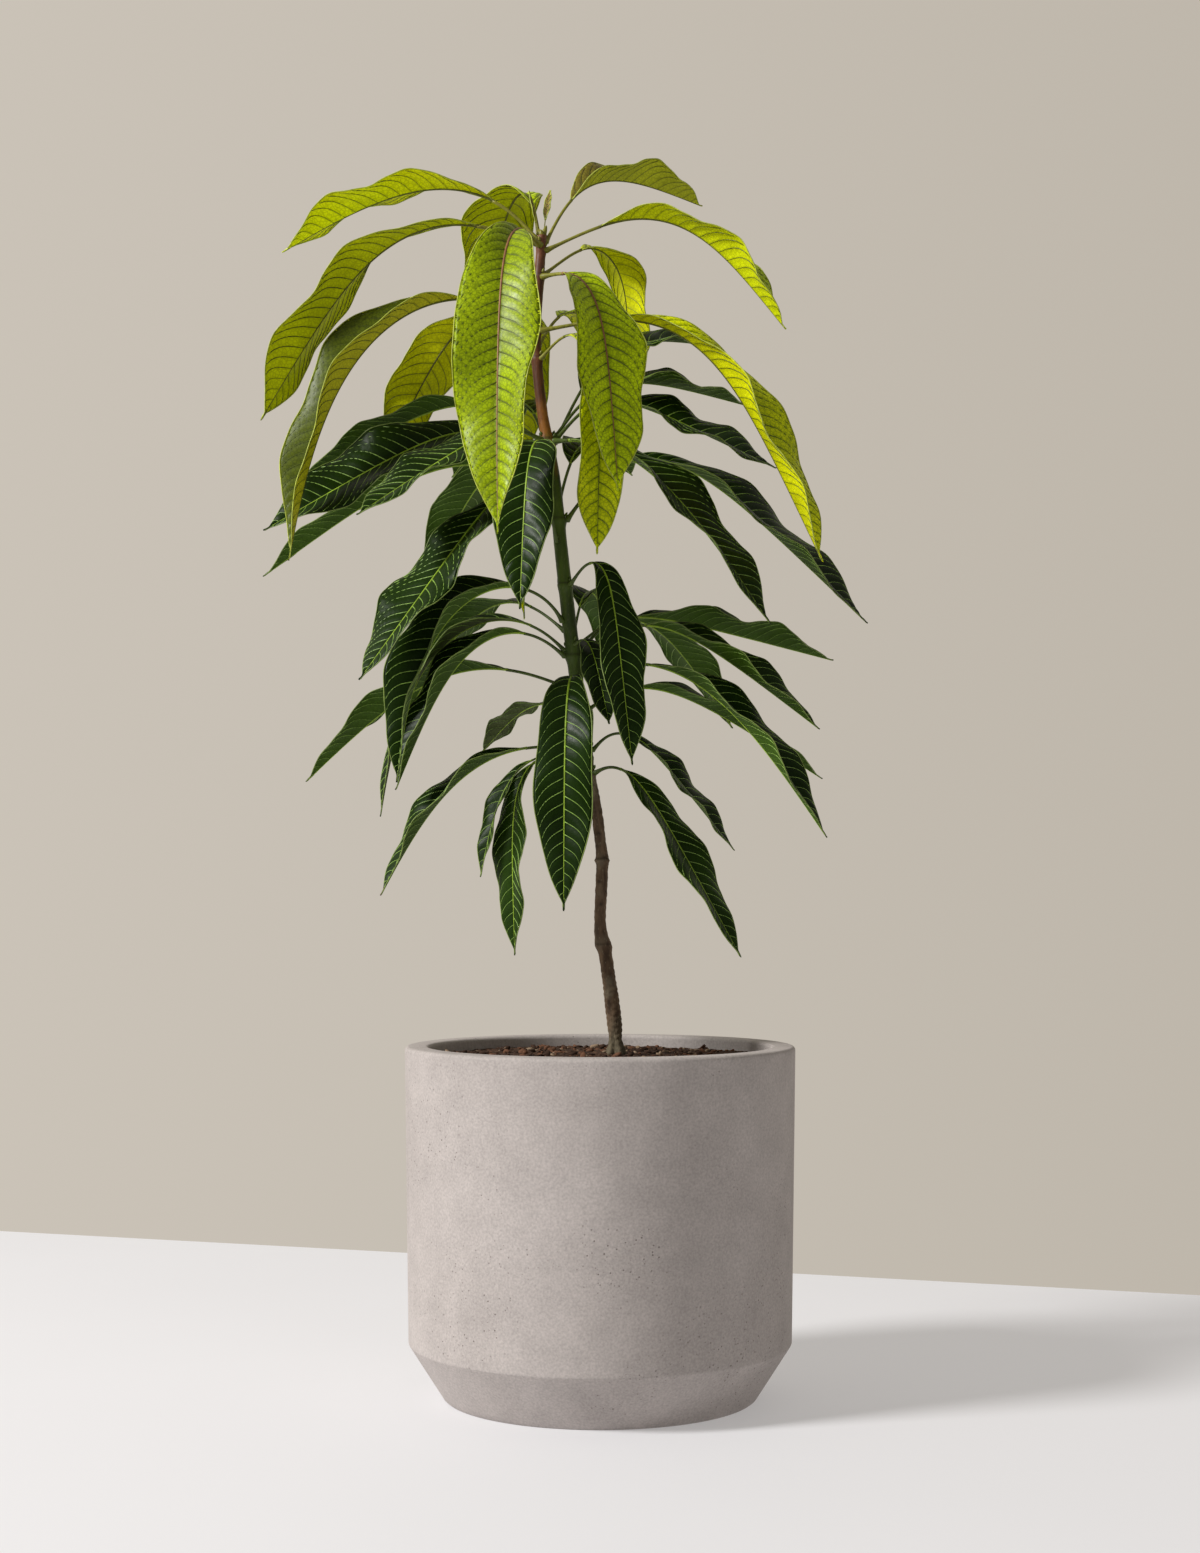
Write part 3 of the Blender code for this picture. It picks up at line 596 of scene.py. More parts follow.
def blade_points(leaf, line, t, v):
    """Points of the blade's middle sheet: t runs from base to tip, v from -1 to 1 across it."""
    s = line_share(leaf, t)
    _, across, upper = leaf_frames(leaf, np.clip(s, 0, 1))
    half = np.maximum(TIP_HALF_WIDTH, 0.5 * leaf.width * blade_share(t, leaf.widest))
    away = np.abs(v)
    soft = (np.sqrt(away**2 + KEEL**2) - KEEL) / (math.sqrt(1 + KEEL**2) - KEEL)
    fold = math.radians(leaf.fold)
    lag = np.where(v < 0, MARGIN_LAG, 0.0)
    ripple = WAVE_SHARE * np.sin(2 * math.pi * WAVES * t + leaf.phase + lag)
    ripple = ripple + FINE_WAVE_SHARE * np.sin(2 * math.pi * FINE_WAVES * t + 3 * leaf.phase + 2 * lag)
    pillow = np.abs(np.sin(math.pi * vein_number(leaf, t, v)))
    pillow = (np.maximum(0.0, pillow - VALLEY) / (1 - VALLEY)) ** 0.8
    quilt = QUILT * leaf.width / QUILT_WIDTH * pillow * np.sqrt(away) * (1 - away**6)
    lift = half * (math.sin(fold) * soft + ripple * away**1.6 + ARCH * (away - away**2)) + quilt
    lobes = 1 + LOBE_SHARE * np.sin(2 * math.pi * WAVES * t + 1.7 * leaf.phase + 2.3 * (v < 0))
    reach = half * lobes * math.cos(fold) * v
    return on_line(line, s) + across * reach[..., None] + upper * lift[..., None]


def blade_normals(leaf, line, t, v, step=0.004):
    ahead = blade_points(leaf, line, t + step, v) - blade_points(leaf, line, t - step, v)
    aside = blade_points(leaf, line, t, v + 4 * step) - blade_points(leaf, line, t, v - 4 * step)
    return unit(np.cross(ahead, aside))


def add_blade(sheaf, leaf, line, row, rows, slots):
    """The blade as one closed sheet, with its upper face and its underside in slots of their own."""
    t, v = np.meshgrid(
        np.linspace(0, 1, BLADE_ROWS + 1),
        np.linspace(-1, 1, BLADE_COLUMNS + 1),
        indexing="ij",
    )
    middle = blade_points(leaf, line, t, v)
    ahead = np.gradient(middle, axis=0)
    aside = np.gradient(middle, axis=1)
    normal = unit(np.cross(ahead, aside))
    thick = (HALF_THICKNESS * np.sqrt(np.maximum(0.0, 1 - v**2)))[..., None]
    top = middle + normal * thick
    under = (middle - normal * thick)[:, 1:-1]
    lines, columns = t.shape
    above = np.arange(lines * columns).reshape(lines, columns)
    below = above.copy()
    below[:, 1:-1] = lines * columns + np.arange(lines * (columns - 2)).reshape(lines, columns - 2)

    def quads(grid):
        four = (grid[:-1, :-1], grid[1:, :-1], grid[1:, 1:], grid[:-1, 1:])
        return np.stack(four, axis=2).reshape(-1, 4, *grid.shape[2:])

    def corners(side):
        u = 0.5 * side + 0.01 + 0.48 * t
        w = (row + 0.04 + 0.46 * (v + 1)) / rows
        return quads(np.stack((u, w), axis=-1))

    start = np.concatenate((above[0], below[0, -2:0:-1])).reshape(1, -1)
    end = np.concatenate((below[-1, 1:-1], above[-1, ::-1])).reshape(1, -1)
    withered = leaf.tip == "brown"
    top_faces = quads(above)
    under_faces = quads(below)[:, ::-1]
    along = t[:-1, :-1].reshape(-1)
    groups = []
    faced = (
        (top_faces, corners(0), slots[0]),
        (under_faces, corners(1)[:, ::-1], slots[1]),
    )
    for faces, cells, slot in faced:
        dry = along > DRY_START if withered else np.zeros(len(faces), bool)
        groups.append((faces[~dry], cells[~dry], slot))
        if withered:
            groups.append((faces[dry], cells[dry], slots[2]))
    groups.append((start, None, slots[0]))
    groups.append((end, None, slots[0]))
    closeness = 1 - np.abs(np.sin(math.pi * vein_number(leaf, t, v)))
    shades = {"vein": closeness, "away": np.abs(v)}
    values = {key: np.concatenate((grid.ravel(), grid[:, 1:-1].ravel())) for key, grid in shades.items()}
    sheaf.add(np.concatenate((top.reshape(-1, 3), under.reshape(-1, 3))), groups, **values)


def add_veins(sheaf, leaf, line):
    """Thin ridges along the side veins, that stand out of both faces of the blade."""
    away = np.linspace(VEIN_START, VEIN_END, VEIN_POINTS)
    for side, shift in ((1, 0.0), (-1, OTHER_SIDE_SHIFT)):
        roots = (np.arange(1, vein_count(leaf)) - shift) / vein_count(leaf)
        t = np.repeat(roots[:, None], VEIN_POINTS, axis=1)
        for _ in range(VEIN_ROUNDS):
            t = roots[:, None] + vein_slant(leaf, t, away)
        t = t[(t[:, 0] > VEIN_ROOM[0]) & (t[:, -1] < VEIN_ROOM[1])]
        v = side * np.repeat(away[None], len(t), axis=0)
        size = 0.5 * leaf.width * blade_share(t[:, :1], leaf.widest) / VEIN_FULL_SIZE
        taper = (1 - 0.5 * away)[None] * np.clip(size, *VEIN_SIZES)
        normals = blade_normals(leaf, line, t, v)
        paths = blade_points(leaf, line, t, v) + VEIN_LIFT * normals
        base, more = VEIN_HALF_HEIGHTS
        sheaf.add(*ridges(paths, normals, VEIN_HALF_WIDTH * taper, base + more * taper))


def add_margins(sheaf, leaf, line):
    """A thin rim along both edges of the blade."""
    t = np.repeat(np.linspace(*MARGIN_ENDS, MARGIN_POINTS)[None], 2, axis=0)
    v = np.array(((1.0,), (-1.0,))) * np.ones_like(t)
    normals = blade_normals(leaf, line, t, 0.97 * v)
    size = MARGIN_RADIUS * np.ones_like(t)
    sheaf.add(*ridges(blade_points(leaf, line, t, v), normals, size, 0.9 * size))


def stalk_size(leaf):
    """The radius of a leaf's stalk, which grows with the width of its blade."""
    return STALK_RADIUS * math.sqrt(leaf.width / STALK_WIDTH)


def add_rib(sheaf, leaf, line):
    """The midrib, which tapers to the tip and stands out of both faces of the blade."""
    t = np.linspace(0, RIB_END, RIB_POINTS)
    s = line_share(leaf, t)
    _, across, upper = leaf_frames(leaf, s)
    radii = stalk_size(leaf) * (STALK_LEAST - RIB_TAPER * t**0.7)
    centres = blade_points(leaf, line, t, 0 * t) + upper * (RIB_RISE * radii[:, None])
    sheaf.add(*tube(centres, across, upper, radii, RIB_SIDES))


def add_stalk(sheaf, leaf, line):
    """The stalk, swollen where it leaves the trunk."""
    distance = np.linspace(0, leaf.stalk * STALK_OVERLAP, STALK_POINTS)
    s = distance / (leaf.stalk + leaf.length)
    _, across, upper = leaf_frames(leaf, s)
    centres = on_line(line, s)
    radii = stalk_size(leaf) * (STALK_LEAST + np.exp(-distance / STALK_SWELLING_REACH))
    inward = centres[:1] - STALK_SINK * heading_vector(leaf.heading)[None]
    centres = np.concatenate((inward, centres))
    across = np.concatenate((across[:1], across))
    upper = np.concatenate((upper[:1], upper))
    radii = np.concatenate((radii[:1] * 1.05, radii))
    sheaf.add(*tube(centres, across, upper, radii, STALK_SIDES))


def add_bud(sheaf, foot, direction, length, radius):
    """A small pointed bud."""
    direction = unit(np.array(direction, float))
    aside = unit(np.cross(direction, (0.3, 0.9, 0.2)))
    upper = np.cross(direction, aside)
    share = np.linspace(0, 1, BUD_RINGS)
    centres = np.array(foot) + share[:, None] * length * direction
    radii = radius * (np.sin(math.pi * (0.2 + 0.78 * share)) ** 0.8)
    frames = np.repeat(aside[None], BUD_RINGS, axis=0), np.repeat(upper[None], BUD_RINGS, axis=0)
    sheaf.add(*tube(centres, *frames, radii, BUD_SIDES))


class Look:
    """A node material, with short calls for the nodes that it needs."""

    def __init__(self, name, roughness=0.5, specular=0.4):
        self.material = bpy.data.materials.new(name)
        self.material.use_nodes = True
        self.tree = self.material.node_tree
        self.shader = self.tree.nodes["Principled BSDF"]
        self.shader.inputs["Roughness"].default_value = roughness
        self.shader.inputs["Specular IOR Level"].default_value = specular

    def node(self, kind, **values):
        made = self.tree.nodes.new(kind)
        for key, value in values.items():
            setattr(made, key, value)
        return made

    def fill(self, socket, value):
        if isinstance(value, bpy.types.NodeSocket):
            self.tree.links.new(value, socket)
        elif isinstance(value, tuple) and len(value) == 3 and socket.type == "RGBA":
            socket.default_value = (*value, 1.0)
        else:
            socket.default_value = value

    def point(self):
        """The point in the object's own frame."""
        return self.node("ShaderNodeTexCoord").outputs["Object"]

    def place(self, rise):
        """The point in the object's own frame, with its height scaled."""
        mapping = self.node("ShaderNodeMapping")
        self.fill(mapping.inputs["Vector"], self.point())
        mapping.inputs["Scale"].default_value = (1.0, 1.0, rise)
        return mapping.outputs["Vector"]

    def height(self):
        split = self.node("ShaderNodeSeparateXYZ")
        self.fill(split.inputs[0], self.point())
        return split.outputs["Z"]

    def noise(self, scale, detail=3.0, rise=1.0, distortion=0.0):
        made = self.node("ShaderNodeTexNoise")
        self.fill(made.inputs["Vector"], self.place(rise))
        made.inputs["Scale"].default_value = scale
        made.inputs["Detail"].default_value = detail
        made.inputs["Distortion"].default_value = distortion
        return made.outputs["Fac"]

    def cells(self, scale, rise=1.0, feature="F1"):
        """The distance to the nearest of many scattered points, or to a wall between them."""
        made = self.node("ShaderNodeTexVoronoi", feature=feature)
        self.fill(made.inputs["Vector"], self.place(rise))
        made.inputs["Scale"].default_value = scale
        return made.outputs["Distance"]

    def net(self, strength):
        """A net of finer veins."""
        return self.span(self.cells(300, feature="DISTANCE_TO_EDGE"), 0.02, 0.16, strength, 0.0)

    def value(self, name):
        return self.node("ShaderNodeAttribute", attribute_name=name).outputs["Fac"]

    def ragged_veins(self, reach):
        """How near a side vein is, with a rough edge."""
        rough = self.span(self.noise(260, 3), 0.3, 0.7, -reach, reach)
        return self.math("ADD", self.value("vein"), rough)

    def math(self, operation, first, second=0.0):
        made = self.node("ShaderNodeMath", operation=operation)
        self.fill(made.inputs[0], first)
        self.fill(made.inputs[1], second)
        return made.outputs[0]

    def span(self, value, low, high, start=0.0, end=1.0):
        """The value's place between low and high, as a share from start to end."""
        made = self.node("ShaderNodeMapRange", clamp=True)
        for socket, number in zip(made.inputs[:5], (value, low, high, start, end)):
            self.fill(socket, number)
        return made.outputs[0]

    def mix(self, share, first, second):
        made = self.node("ShaderNodeMix", data_type="RGBA")
        self.fill(made.inputs[0], share)
        self.fill(made.inputs[6], first)
        self.fill(made.inputs[7], second)
        return made.outputs[2]

    def patches(self, colours, pattern, low, high):
        """The first colour, with the second one where the pattern is high."""
        return self.mix(self.span(pattern, low, high), *colours)

    def shade(self, colour, amount, start, end):
        """The colour times a grey that runs from start to end with the amount."""
        grey = self.span(amount, 0.3, 0.7, start, end)
        scaled = self.node("ShaderNodeVectorMath", operation="SCALE")
        self.fill(scaled.inputs[0], colour if isinstance(colour, bpy.types.NodeSocket) else tuple(colour))
        self.fill(scaled.inputs["Scale"], grey)
        return scaled.outputs[0]

    def bump(self, height, strength, distance):
        made = self.node("ShaderNodeBump")
        made.inputs["Strength"].default_value = strength
        made.inputs["Distance"].default_value = distance
        self.fill(made.inputs["Height"], height)
        self.fill(self.shader.inputs["Normal"], made.outputs["Normal"])

    def done(self, colour):
        self.fill(self.shader.inputs["Base Color"], colour)
        return self.material


def blade_top_look(tint, kind):
    """The upper face: pillows between darker veins, patches, and a net of finer veins."""
    face, veined, _ = BLADE_COLOURS[tint]
    young = kind == "young"
    look = Look(f"{tint}_top", specular=0.16 if young else 0.10)
    patch = tuple((0.76 if young else 0.62) * part for part in face)
    bright = tuple(min(1.0, 1.25 * part + 0.004) for part in face)
    colour = look.patches((face, patch), look.noise(24, 4), 0.40, 0.68)
    colour = look.mix(look.span(look.noise(9, 2), 0.50, 0.72, 0.0, 0.7), colour, bright)
    near_vein = look.span(look.ragged_veins(0.30), 0.35, 1.0, 0.0, 0.75 if young else 0.45)
    near_rib = look.span(look.value("away"), 0.03, 0.20, 0.55, 0.0)
    for share in (near_vein, look.net(0.55 if young else 0.35), near_rib):
        colour = look.mix(share, colour, veined)
    low, high = (0.32, 0.50) if young else (0.30, 0.46)
    look.fill(look.shader.inputs["Roughness"], look.span(look.noise(60, 3), 0.3, 0.7, low, high))
    look.bump(look.noise(420, 3, distortion=1.0), 0.22, 0.0006)
    return look.done(colour)


def blade_under_look(tint):
    """The underside: duller and paler, with softer marks. On the young kinds most of its brightness is
    painted light shining through the blade.
    """
    _, veined, face = BLADE_COLOURS[tint]
    look = Look(f"{tint}_under", roughness=0.62, specular=0.12)
    patch = tuple(0.78 * part for part in face)
    shade = tuple(0.45 * part for part in face)
    colour = look.patches((face, patch), look.noise(26, 3), 0.40, 0.65)
    for share in (look.span(look.ragged_veins(0.25), 0.45, 1.0, 0.0, 0.6), look.net(0.45)):
        colour = look.mix(share, colour, shade)
    look.bump(look.noise(420, 3), 0.2, 0.0005)
    return look.done(colour)


def withered_look():
    look = Look("withered_tip", roughness=0.75, specular=0.25)
    colour = look.patches(WITHERED, look.noise(160, 3), 0.35, 0.65)
    look.bump(look.noise(500, 3), 0.4, 0.0006)
    return look.done(colour)


def plain_look(name, colour, roughness=0.5, specular=0.4, grain=240, depth=0.15):
    """A lightly mottled look for a fine piece such as a stalk, a vein or a chip."""
    look = Look(name, roughness, specular)
    darker = tuple(0.6 * part for part in colour)
    blend = look.patches((colour, darker), look.noise(grain, 3), 0.35, 0.70)
    blend = look.shade(blend, look.noise(0.2 * grain, 2), 0.85, 1.15)
    look.bump(look.noise(2 * grain, 2), depth, 0.0004)
    return look.done(blend)


def bark_look():
    look = Look("bark", roughness=0.78, specular=0.3)
    height = look.height()
    wander = look.span(look.noise(70, 3, 0.35), 0.3, 0.7, -0.02, 0.02)
    level = look.math("ADD", height, wander)
    old = look.patches(OLD_BARK, look.noise(150, 4, 0.30), 0.40, 0.62)
    old = look.mix(look.span(look.noise(34, 2), 0.52, 0.70, 0.0, 0.7), old, PALE_BARK)
    green = look.patches(GREEN_BARK, look.noise(110, 3, 0.20), 0.40, 0.65)
    rust = look.patches(RUST_BARK, look.noise(130, 3), 0.40, 0.65)
    maroon = look.patches(MAROON_BARK, look.noise(140, 3, 0.25), 0.40, 0.65)
    colour = look.mix(look.span(level, *GREEN_FROM), old, green)
    colour = look.mix(look.span(level, *RUST_FROM), colour, rust)
    colour = look.mix(look.span(level, *MAROON_FROM), colour, maroon)
    colour = look.mix(look.span(level, *FOOT_UP_TO, 0.65, 0.0), colour, FOOT_BARK)
    specks = look.span(look.cells(420, 0.45), 0.14, 0.26, 0.7, 0.0)
    specks = look.math("MULTIPLY", specks, look.span(level, 0.56, 0.60, 0.8, 0.25))
    colour = look.mix(specks, colour, BARK_SPECKS)
    colour = look.mix(look.value("scar"), colour, BARK_SCARS)
    look.fill(look.shader.inputs["Roughness"], look.span(level, 0.54, 0.60, 0.85, 0.48))
    cover = look.span(level, 0.54, 0.60, 1.0, 0.3)
    grain = look.math("MULTIPLY", look.noise(300, 4, 0.35), cover)
    look.bump(grain, 0.7, 0.0012)
    return look.done(colour)


def planter_look():
    look = Look("planter", roughness=0.72, specular=0.3)
    colour = look.patches(POT_COLOURS, look.noise(6, 3), 0.35, 0.65)
    colour = look.shade(colour, look.noise(38, 3), 0.94, 1.06)
    colour = look.shade(colour, look.noise(520, 2), 0.86, 1.12)
    clusters = look.span(look.noise(11, 3), 0.46, 0.62)
    holes = look.span(look.cells(210), 0.10, 0.17, 1.0, 0.0)
    small = look.span(look.cells(480), 0.10, 0.18, 0.55, 0.0)
    pits = look.math("MULTIPLY", look.math("MAXIMUM", holes, small), clusters)
    colour = look.mix(look.math("MULTIPLY", pits, 0.80), colour, PINHOLES)
    relief = look.math("SUBTRACT", look.math("MULTIPLY", look.noise(300, 4), 0.25), pits)
    look.bump(relief, 0.5, 0.0007)
    return look.done(colour)


def soil_look():
    look = Look("soil", roughness=0.95, specular=0.15)
    colour = look.patches(SOIL_COLOURS, look.noise(95, 4), 0.40, 0.62)
    colour = look.mix(look.span(look.noise(300, 3), 0.58, 0.68, 0.0, 0.8), colour, SOIL_CRUMBS)
    look.bump(look.noise(420, 5), 0.9, 0.0030)
    return look.done(colour)


def make_leaves(draws):
    """All the leaves: their blades mass by mass, and their finer parts joined kind by kind."""
    fine = {(kind, part): Sheaf() for kind in ("young", "old") for part in PART_COLOURS}
    red_ribs = Sheaf()
    looks = {}
    for tint in BLADE_COLOURS:
        kind = "young" if tint in YOUNG_TINTS else "old"
        looks[tint] = (blade_top_look(tint, kind), blade_under_look(tint))
    dry = withered_look()
    for name, (leaves, common, kind) in MASSES.items():
        for leaf in leaves:
            leaf.phase = draws.uniform(0, 2 * math.pi)
            leaf.tint = leaf.tint or common
        tints = sorted({leaf.tint for leaf in leaves})
        materials = [look for tint in tints for look in looks[tint]] + [dry]
        blades = Sheaf()
        for row, leaf in enumerate(leaves):
            line = leaf_line(leaf)
            first = 2 * tints.index(leaf.tint)
            add_blade(blades, leaf, line, row, len(leaves), (first, first + 1, 2 * len(tints)))
            add_veins(fine[kind, "veins"], leaf, line)
            add_margins(fine[kind, "margins"], leaf, line)
            add_rib(red_ribs if leaf.rib == "red" else fine[kind, "ribs"], leaf, line)
            add_stalk(fine[kind, "stalks"], leaf, line)
            outward = heading_vector(leaf.heading)
            centre, radius = trunk_at(leaf.height)
            foot = centre + (radius - LEAF_BUD_SINK) * outward + np.array((0.0, 0.0, LEAF_BUD_RISE))
            lean = 0.5 * outward + np.array((0.0, 0.0, 1.0))
            add_bud(fine[kind, "stalks"], foot, lean, LEAF_BUD_LENGTH, LEAF_BUD_RADIUS)
        place(blades.build(f"{name}_blades", materials), f"{kind}_leaf", name)
    tip_top = trunk_at(TRUNK_LINE[-1][0])[0]
    for turn, length in TIP_BUDS:
        lean = np.array((TIP_BUD_LEAN * math.cos(turn), TIP_BUD_LEAN * math.sin(turn), 1.0))
        foot = tip_top - (0.0, 0.0, TIP_BUD_SINK)
        add_bud(fine["young", "stalks"], foot, lean, length, TIP_BUD_RADIUS)
    for (kind, part), sheaf in fine.items():
        look = plain_look(f"{kind}_{part}_look", PART_COLOURS[part][kind], 0.45)
        nodes = [name for name, mass in MASSES.items() if mass[2] == kind]
        place(sheaf.build(f"{kind}_{part}", [look]), f"{kind}_leaf", *nodes)
    look = plain_look("reddish_rib_look", REDDISH_RIB)
    place(red_ribs.build("reddish_ribs", [look]), "young_leaf", "tip_leaves", "young_leaves")


def make_trunk():
    """The trunk with its bark, scars, rings and knobs."""
    heights = np.linspace(TRUNK_LINE[0][0], TRUNK_LINE[-1][0], TRUNK_RINGS + 1)
    rows = [trunk_at(height) for height in heights]
    turns = 2 * math.pi * np.arange(TRUNK_SIDES) / TRUNK_SIDES
    heading = np.stack((np.cos(turns), np.sin(turns), 0 * turns), axis=-1)
    points = np.empty((len(heights), TRUNK_SIDES, 3))
    scars = np.zeros((len(heights), TRUNK_SIDES))
    leaves = [leaf for mass, _, _ in MASSES.values() for leaf in mass]
    for i, (height, (centre, radius)) in enumerate(zip(heights, rows)):
        rough = 1.0
        if height >= BARK_TOP:
            rough = max(SMOOTH_SHARE, 1 - (height - BARK_TOP) / BARK_FADE)
        relief = np.zeros(TRUNK_SIDES)
        for k, way in enumerate(heading):
            spot = Vector((260 * way[0] * radius, 260 * way[1] * radius, 70 * height))
            crack = noise.noise(3.2 * spot)
            grain = noise.noise(Vector((900 * way[0] * radius, 900 * way[1] * radius, 520 * height)))
            relief[k] = rough * BARK_DEPTH * (1.1 * crack + 0.7 * grain)
        if height < WRINKLE_TOP:
            wave = 2 * math.pi * height / WRINKLE_SPACING + 1.5 * np.sin(3 * turns)
            relief += WRINKLE_DEPTH * np.sin(wave)
        knob = KNOB_DEPTH * bell(height, KNOB_HEIGHT, KNOB_REACH)
        relief += knob * np.maximum(0, np.sin(2 * turns + 0.5)) ** 2
        relief += RING_DEPTH * bell(height, RING_HEIGHT, RING_REACH)
        for node in TRUNK_NODES:
            groove = bell(height, node + GROOVE_LIFT, GROOVE_REACH)
            relief -= GROOVE_DEPTH * groove
            scars[i] = np.maximum(scars[i], GROOVE_SHADE * groove)
        for leaf in leaves:
            if abs(height - leaf.height) <= PAD_LIMIT:
                near = bell(turn_gap(turns, math.radians(leaf.heading)), 0, PAD_ANGLE)
                relief += PAD_DEPTH * near * bell(height, leaf.height - PAD_DROP, PAD_REACH)
        foot = max(0.0, 1 - (height - TRUNK_LINE[0][0]) / FOOT_HEIGHT)
        relief += FOOT_DEPTH * foot**1.5 * np.sin(FOOT_LOBES * turns + 0.8)
        points[i] = centre + (radius + relief)[:, None] * heading
    for number in range(SCAR_COUNT):
        height = SCAR_START + SCAR_STEP * number + SCAR_WANDER * math.sin(7.0 * number)
        beside = bell(turn_gap(turns, SCAR_TURN * number), 0, SCAR_ANGLE)
        mark = bell(heights, height, SCAR_REACH)[:, None] * beside[None]
        points -= SCAR_DEPTH * mark[..., None] * heading[None]
        scars = np.maximum(scars, SCAR_SHADE * mark)
    base = points[:1] - np.array((0.0, 0.0, TRUNK_SINK))
    points = np.concatenate((base, points))
    scars = np.clip(np.concatenate((scars[:1], scars)), 0, DARKEST_SCAR)
    sheaf = Sheaf()
    groups = closed_rings(len(points), TRUNK_SIDES)
    sheaf.add(points.reshape(-1, 3), groups, scar=scars.ravel())
    place(sheaf.build("barked_trunk", [bark_look()]), "bark", "trunk")


def arc(centre, radius, start, end, steps):
    """Points along an arc, from start to end in degrees."""
    angles = np.radians(np.linspace(start, end, steps))
    return [(centre[0] + radius * math.cos(a), centre[1] + radius * math.sin(a)) for a in angles]


def subdivided(profile, step):
    """The profile's corners with points between them, at most a step apart."""
    points = []
    for first, second in zip(profile, profile[1:]):
        count = max(1, math.ceil(math.dist(first, second) / step))
        gap = second[0] - first[0], second[1] - first[1]
        points += [(first[0] + s * gap[0], first[1] + s * gap[1]) for s in np.arange(count) / count]
    return points + [profile[-1]]


def spun(name, profile, sides, materials):
    """A closed solid of revolution, whose profile starts and ends on the axis."""
    radii, heights = np.array(profile[1:-1]).T
    turns = 2 * math.pi * np.arange(sides) / sides
    x, y = radii[:, None] * np.cos(turns), radii[:, None] * np.sin(turns)
    rings = np.stack((x, y, heights[:, None] + 0 * turns), axis=-1)
    count = len(radii)
    ends = np.array(((0.0, 0.0, profile[0][1]), (0.0, 0.0, profile[-1][1])))
    around = np.arange(sides)
    after = np.roll(around, -1)
    first = np.stack((after, around, 0 * around + count * sides), axis=-1)
    last = (count - 1) * sides
    second = np.stack((around + last, after + last, 0 * around + count * sides + 1), axis=-1)
    sheaf = Sheaf()
    groups = [(ring_faces(count, sides), None, 0), (first, None, 0), (second, None, 0)]
    sheaf.add(np.concatenate((rings.reshape(-1, 3), ends)), groups)
    return sheaf.build(name, materials)


def make_planter():
    edge = POT_EDGE
    wall = POT_RIM_RADIUS - POT_WALL
    inset, rise = POT_BASE_EDGE
    shoulder = (POT_SHOULDER_RADIUS - POT_SHOULDER_EDGE, POT_SHOULDER_HEIGHT + POT_SHOULDER_RISE)
    profile = [(0.0, 0.0), (POT_BASE_RADIUS - inset, 0.0), (POT_BASE_RADIUS, rise)]
    profile += arc(shoulder, POT_SHOULDER_EDGE, -36, 0, 5)
    profile += arc((POT_RIM_RADIUS - edge, POT_HEIGHT - edge), edge, 0, 90, 8)
    profile += arc((wall + edge, POT_HEIGHT - edge), edge, 90, 180, 8)
    recess = SOIL_EDGE_HEIGHT - SOIL_RECESS
    profile += [(wall - 0.001, recess), (0.0, recess)]
    planter = spun("planter", subdivided(profile, POT_STEP), POT_SIDES, [planter_look()])
    place(planter, "pot", "pot")


def soil_height(x, y):
    """The height of the soil's rough top."""
    out = math.hypot(x, y)
    rim = POT_RIM_RADIUS - POT_WALL
    mound = SOIL_TOP_HEIGHT - SOIL_EDGE_HEIGHT
    level = SOIL_EDGE_HEIGHT + mound * max(0.0, 1 - out / rim) ** 1.4
    lumps = 0.0
    for scale, layer, share in SOIL_LUMPS:
        lumps += share * noise.noise(Vector((scale * x, scale * y, layer)))
    return level + SOIL_ROUGHNESS * lumps - SOIL_SINK


def make_soil(draws):
    rim = POT_RIM_RADIUS - POT_WALL + SOIL_OVERLAP
    bottom = SOIL_EDGE_HEIGHT - SOIL_BED_DEPTH
    profile = [(0.0, bottom), (rim, bottom)]
    profile += [(rim * (1 - i / SOIL_RINGS), 0.0) for i in range(SOIL_RINGS)] + [(0.0, 0.0)]
    soil = spun("soil_bed", profile, SOIL_SIDES, [soil_look()])
    for vertex in soil.data.vertices:
        x, y, z = vertex.co
        if z == 0.0:
            vertex.co.z = soil_height(x, y)
    place(soil, "soil", "soil")
    sheaves = {name: Sheaf() for name in CHIP_KINDS}
    shares = [kind[3] for kind in CHIP_KINDS.values()]
    shortest, longest = CHIP_SIZES
    trunk_foot = trunk_at(TRUNK_LINE[0][0])[0]
    for _ in range(CHIP_COUNT):
        out = (rim - CHIP_MARGIN) * math.sqrt(draws.random())
        turn = draws.uniform(0, 2 * math.pi)
        x, y = out * math.cos(turn), out * math.sin(turn)
        if math.hypot(x - trunk_foot[0], y - trunk_foot[1]) < CHIP_FREE_RADIUS:
            continue
        length = shortest + (longest - shortest) * draws.random() ** 2.2
        width = length * draws.uniform(*CHIP_WIDTHS)
        sides = np.array((length, width, length * draws.uniform(*CHIP_THICKNESSES)))
        name = draws.choices(list(CHIP_KINDS), shares)[0]
        add_chip(sheaves[name], (x, y, soil_height(x, y) + 0.2 * sides[2]), sides, draws)
    for name, sheaf in sheaves.items():
        look = plain_look(f"{name}_chip_look", *CHIP_KINDS[name][:3])
        place(sheaf.build(f"{name}_chips", [look]), "soil", "soil")


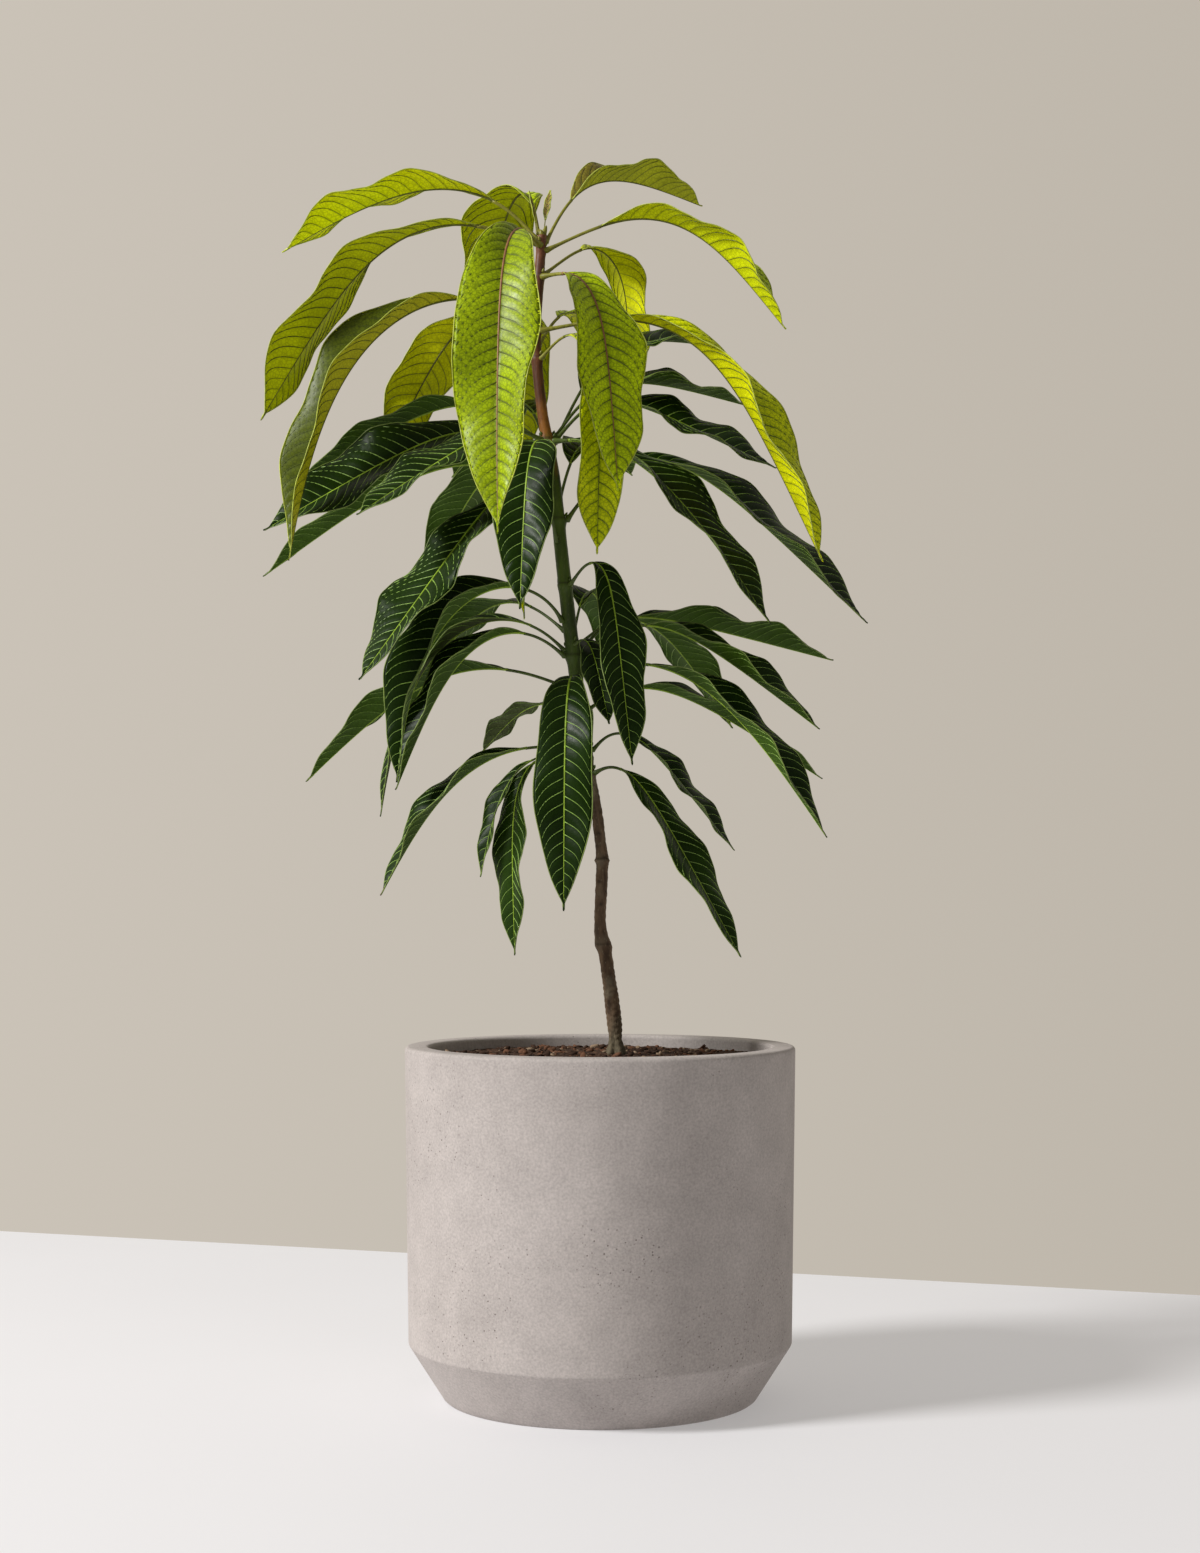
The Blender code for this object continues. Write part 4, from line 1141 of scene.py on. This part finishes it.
def add_chip(sheaf, centre, sides, draws):
    """A rough flake with five to seven corners round it."""
    corners = draws.randint(5, 7)
    uneven = [draws.uniform(-0.25, 0.25) for _ in range(corners)]
    turns = 2 * math.pi * (np.arange(corners) + uneven) / corners
    outline = np.stack((np.cos(turns), np.sin(turns), 0 * turns), axis=-1)
    rings = []
    for level, reach in CHIP_LAYERS:
        ring = outline * reach + (0, 0, level)
        ring *= [[draws.uniform(0.85, 1.1)] for _ in range(corners)]
        rings.append(ring * sides * (0.5, 0.5, 1.0))
    yaw = draws.uniform(0, 2 * math.pi)
    pitch = draws.gauss(0, CHIP_TILT)
    tilt = draws.gauss(0, CHIP_TILT)
    turned = np.concatenate(rings)
    for first, second, angle in ((1, 2, pitch), (0, 2, tilt), (0, 1, yaw)):
        a, b = turned[:, first].copy(), turned[:, second].copy()
        turned[:, first] = a * math.cos(angle) - b * math.sin(angle)
        turned[:, second] = a * math.sin(angle) + b * math.cos(angle)
    sheaf.add(turned + np.array(centre), closed_rings(len(CHIP_LAYERS), corners))


def make_floor():
    """A finite pale floor, whose back edge shows behind the pot as in the photograph."""
    sheaf = Sheaf()
    outline = np.array([(x, y, 0.0) for x, y in FLOOR_OUTLINE])
    points = np.concatenate((outline - (0, 0, FLOOR_THICKNESS), outline))
    sheaf.add(points, closed_rings(2, len(outline)))
    look = Look("floor", roughness=0.65, specular=0.2)
    colour = look.shade(FLOOR_COLOUR, look.noise(2.5, 2), 0.99, 1.01)
    look.shader.inputs["Emission Color"].default_value = FLOOR_GLOW
    look.shader.inputs["Emission Strength"].default_value = FLOOR_GLOW_STRENGTH
    floor = sheaf.build("floor", [look.done(colour)])
    for face in floor.data.polygons:
        face.use_smooth = False


def make_world():
    """A warm grey backdrop, a little darker to the right and behind the camera."""
    world = bpy.data.worlds.new("backdrop")
    world.use_nodes = True
    nodes, links = world.node_tree.nodes, world.node_tree.links
    split = nodes.new("ShaderNodeSeparateXYZ")
    links.new(nodes.new("ShaderNodeTexCoord").outputs["Generated"], split.inputs[0])

    def ramp(axis, ends, first, second):
        span = nodes.new("ShaderNodeMapRange")
        span.inputs["From Min"].default_value = ends[0]
        span.inputs["From Max"].default_value = ends[1]
        links.new(split.outputs[axis], span.inputs["Value"])
        mix = nodes.new("ShaderNodeMix")
        mix.data_type = "RGBA"
        links.new(span.outputs[0], mix.inputs[0])
        for socket, colour in ((mix.inputs[6], first), (mix.inputs[7], second)):
            if isinstance(colour, tuple):
                socket.default_value = (*colour, 1.0)
            else:
                links.new(colour, socket)
        return mix.outputs[2]

    across = ramp("X", LEFT_TO_RIGHT, BACKDROP_LEFT, BACKDROP_RIGHT)
    around = ramp("Y", BACK_TO_FRONT, STUDIO, across)
    background = nodes["Background"]
    links.new(around, background.inputs["Color"])
    bpy.context.scene.world = world


def make_light():
    """A round lamp from the upper left, a little in front of the plant."""
    data = bpy.data.lights.new("key", "AREA")
    data.shape = "DISK"
    data.size = KEY_SIZE
    data.energy = KEY_WATTS
    data.color = KEY_COLOUR
    light = bpy.data.objects.new("key", data)
    light.location = KEY_PLACE
    light.rotation_euler = (Vector(KEY_AIM) - Vector(KEY_PLACE)).to_track_quat("-Z", "Y").to_euler()
    bpy.context.scene.collection.objects.link(light)


def make_camera():
    data = bpy.data.cameras.new("camera")
    data.lens = LENS_MM
    data.shift_x = (0.5 * PHOTO_WIDTH - AXIS_PX) / PHOTO_HEIGHT
    data.shift_y = (EYE_LEVEL_PX - 0.5 * PHOTO_HEIGHT) / PHOTO_HEIGHT
    camera = bpy.data.objects.new("camera", data)
    camera.location = (0.0, -CAMERA_DISTANCE, CAMERA_HEIGHT)
    camera.rotation_euler = UPRIGHT_CAMERA
    bpy.context.scene.collection.objects.link(camera)
    bpy.context.scene.camera = camera


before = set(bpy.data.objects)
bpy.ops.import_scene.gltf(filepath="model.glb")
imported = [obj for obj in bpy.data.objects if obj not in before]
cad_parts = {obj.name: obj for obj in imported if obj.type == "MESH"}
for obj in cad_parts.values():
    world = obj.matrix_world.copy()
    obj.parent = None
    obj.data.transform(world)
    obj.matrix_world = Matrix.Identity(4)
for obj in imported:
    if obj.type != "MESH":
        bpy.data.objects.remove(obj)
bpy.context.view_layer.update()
make_camera()
make_leaves(random.Random(SEED))
make_trunk()
make_planter()
make_soil(random.Random(SEED + 1))
make_floor()
make_world()
bpy.context.scene.view_settings.view_transform = "Standard"
make_light()
bpy.context.view_layer.update()
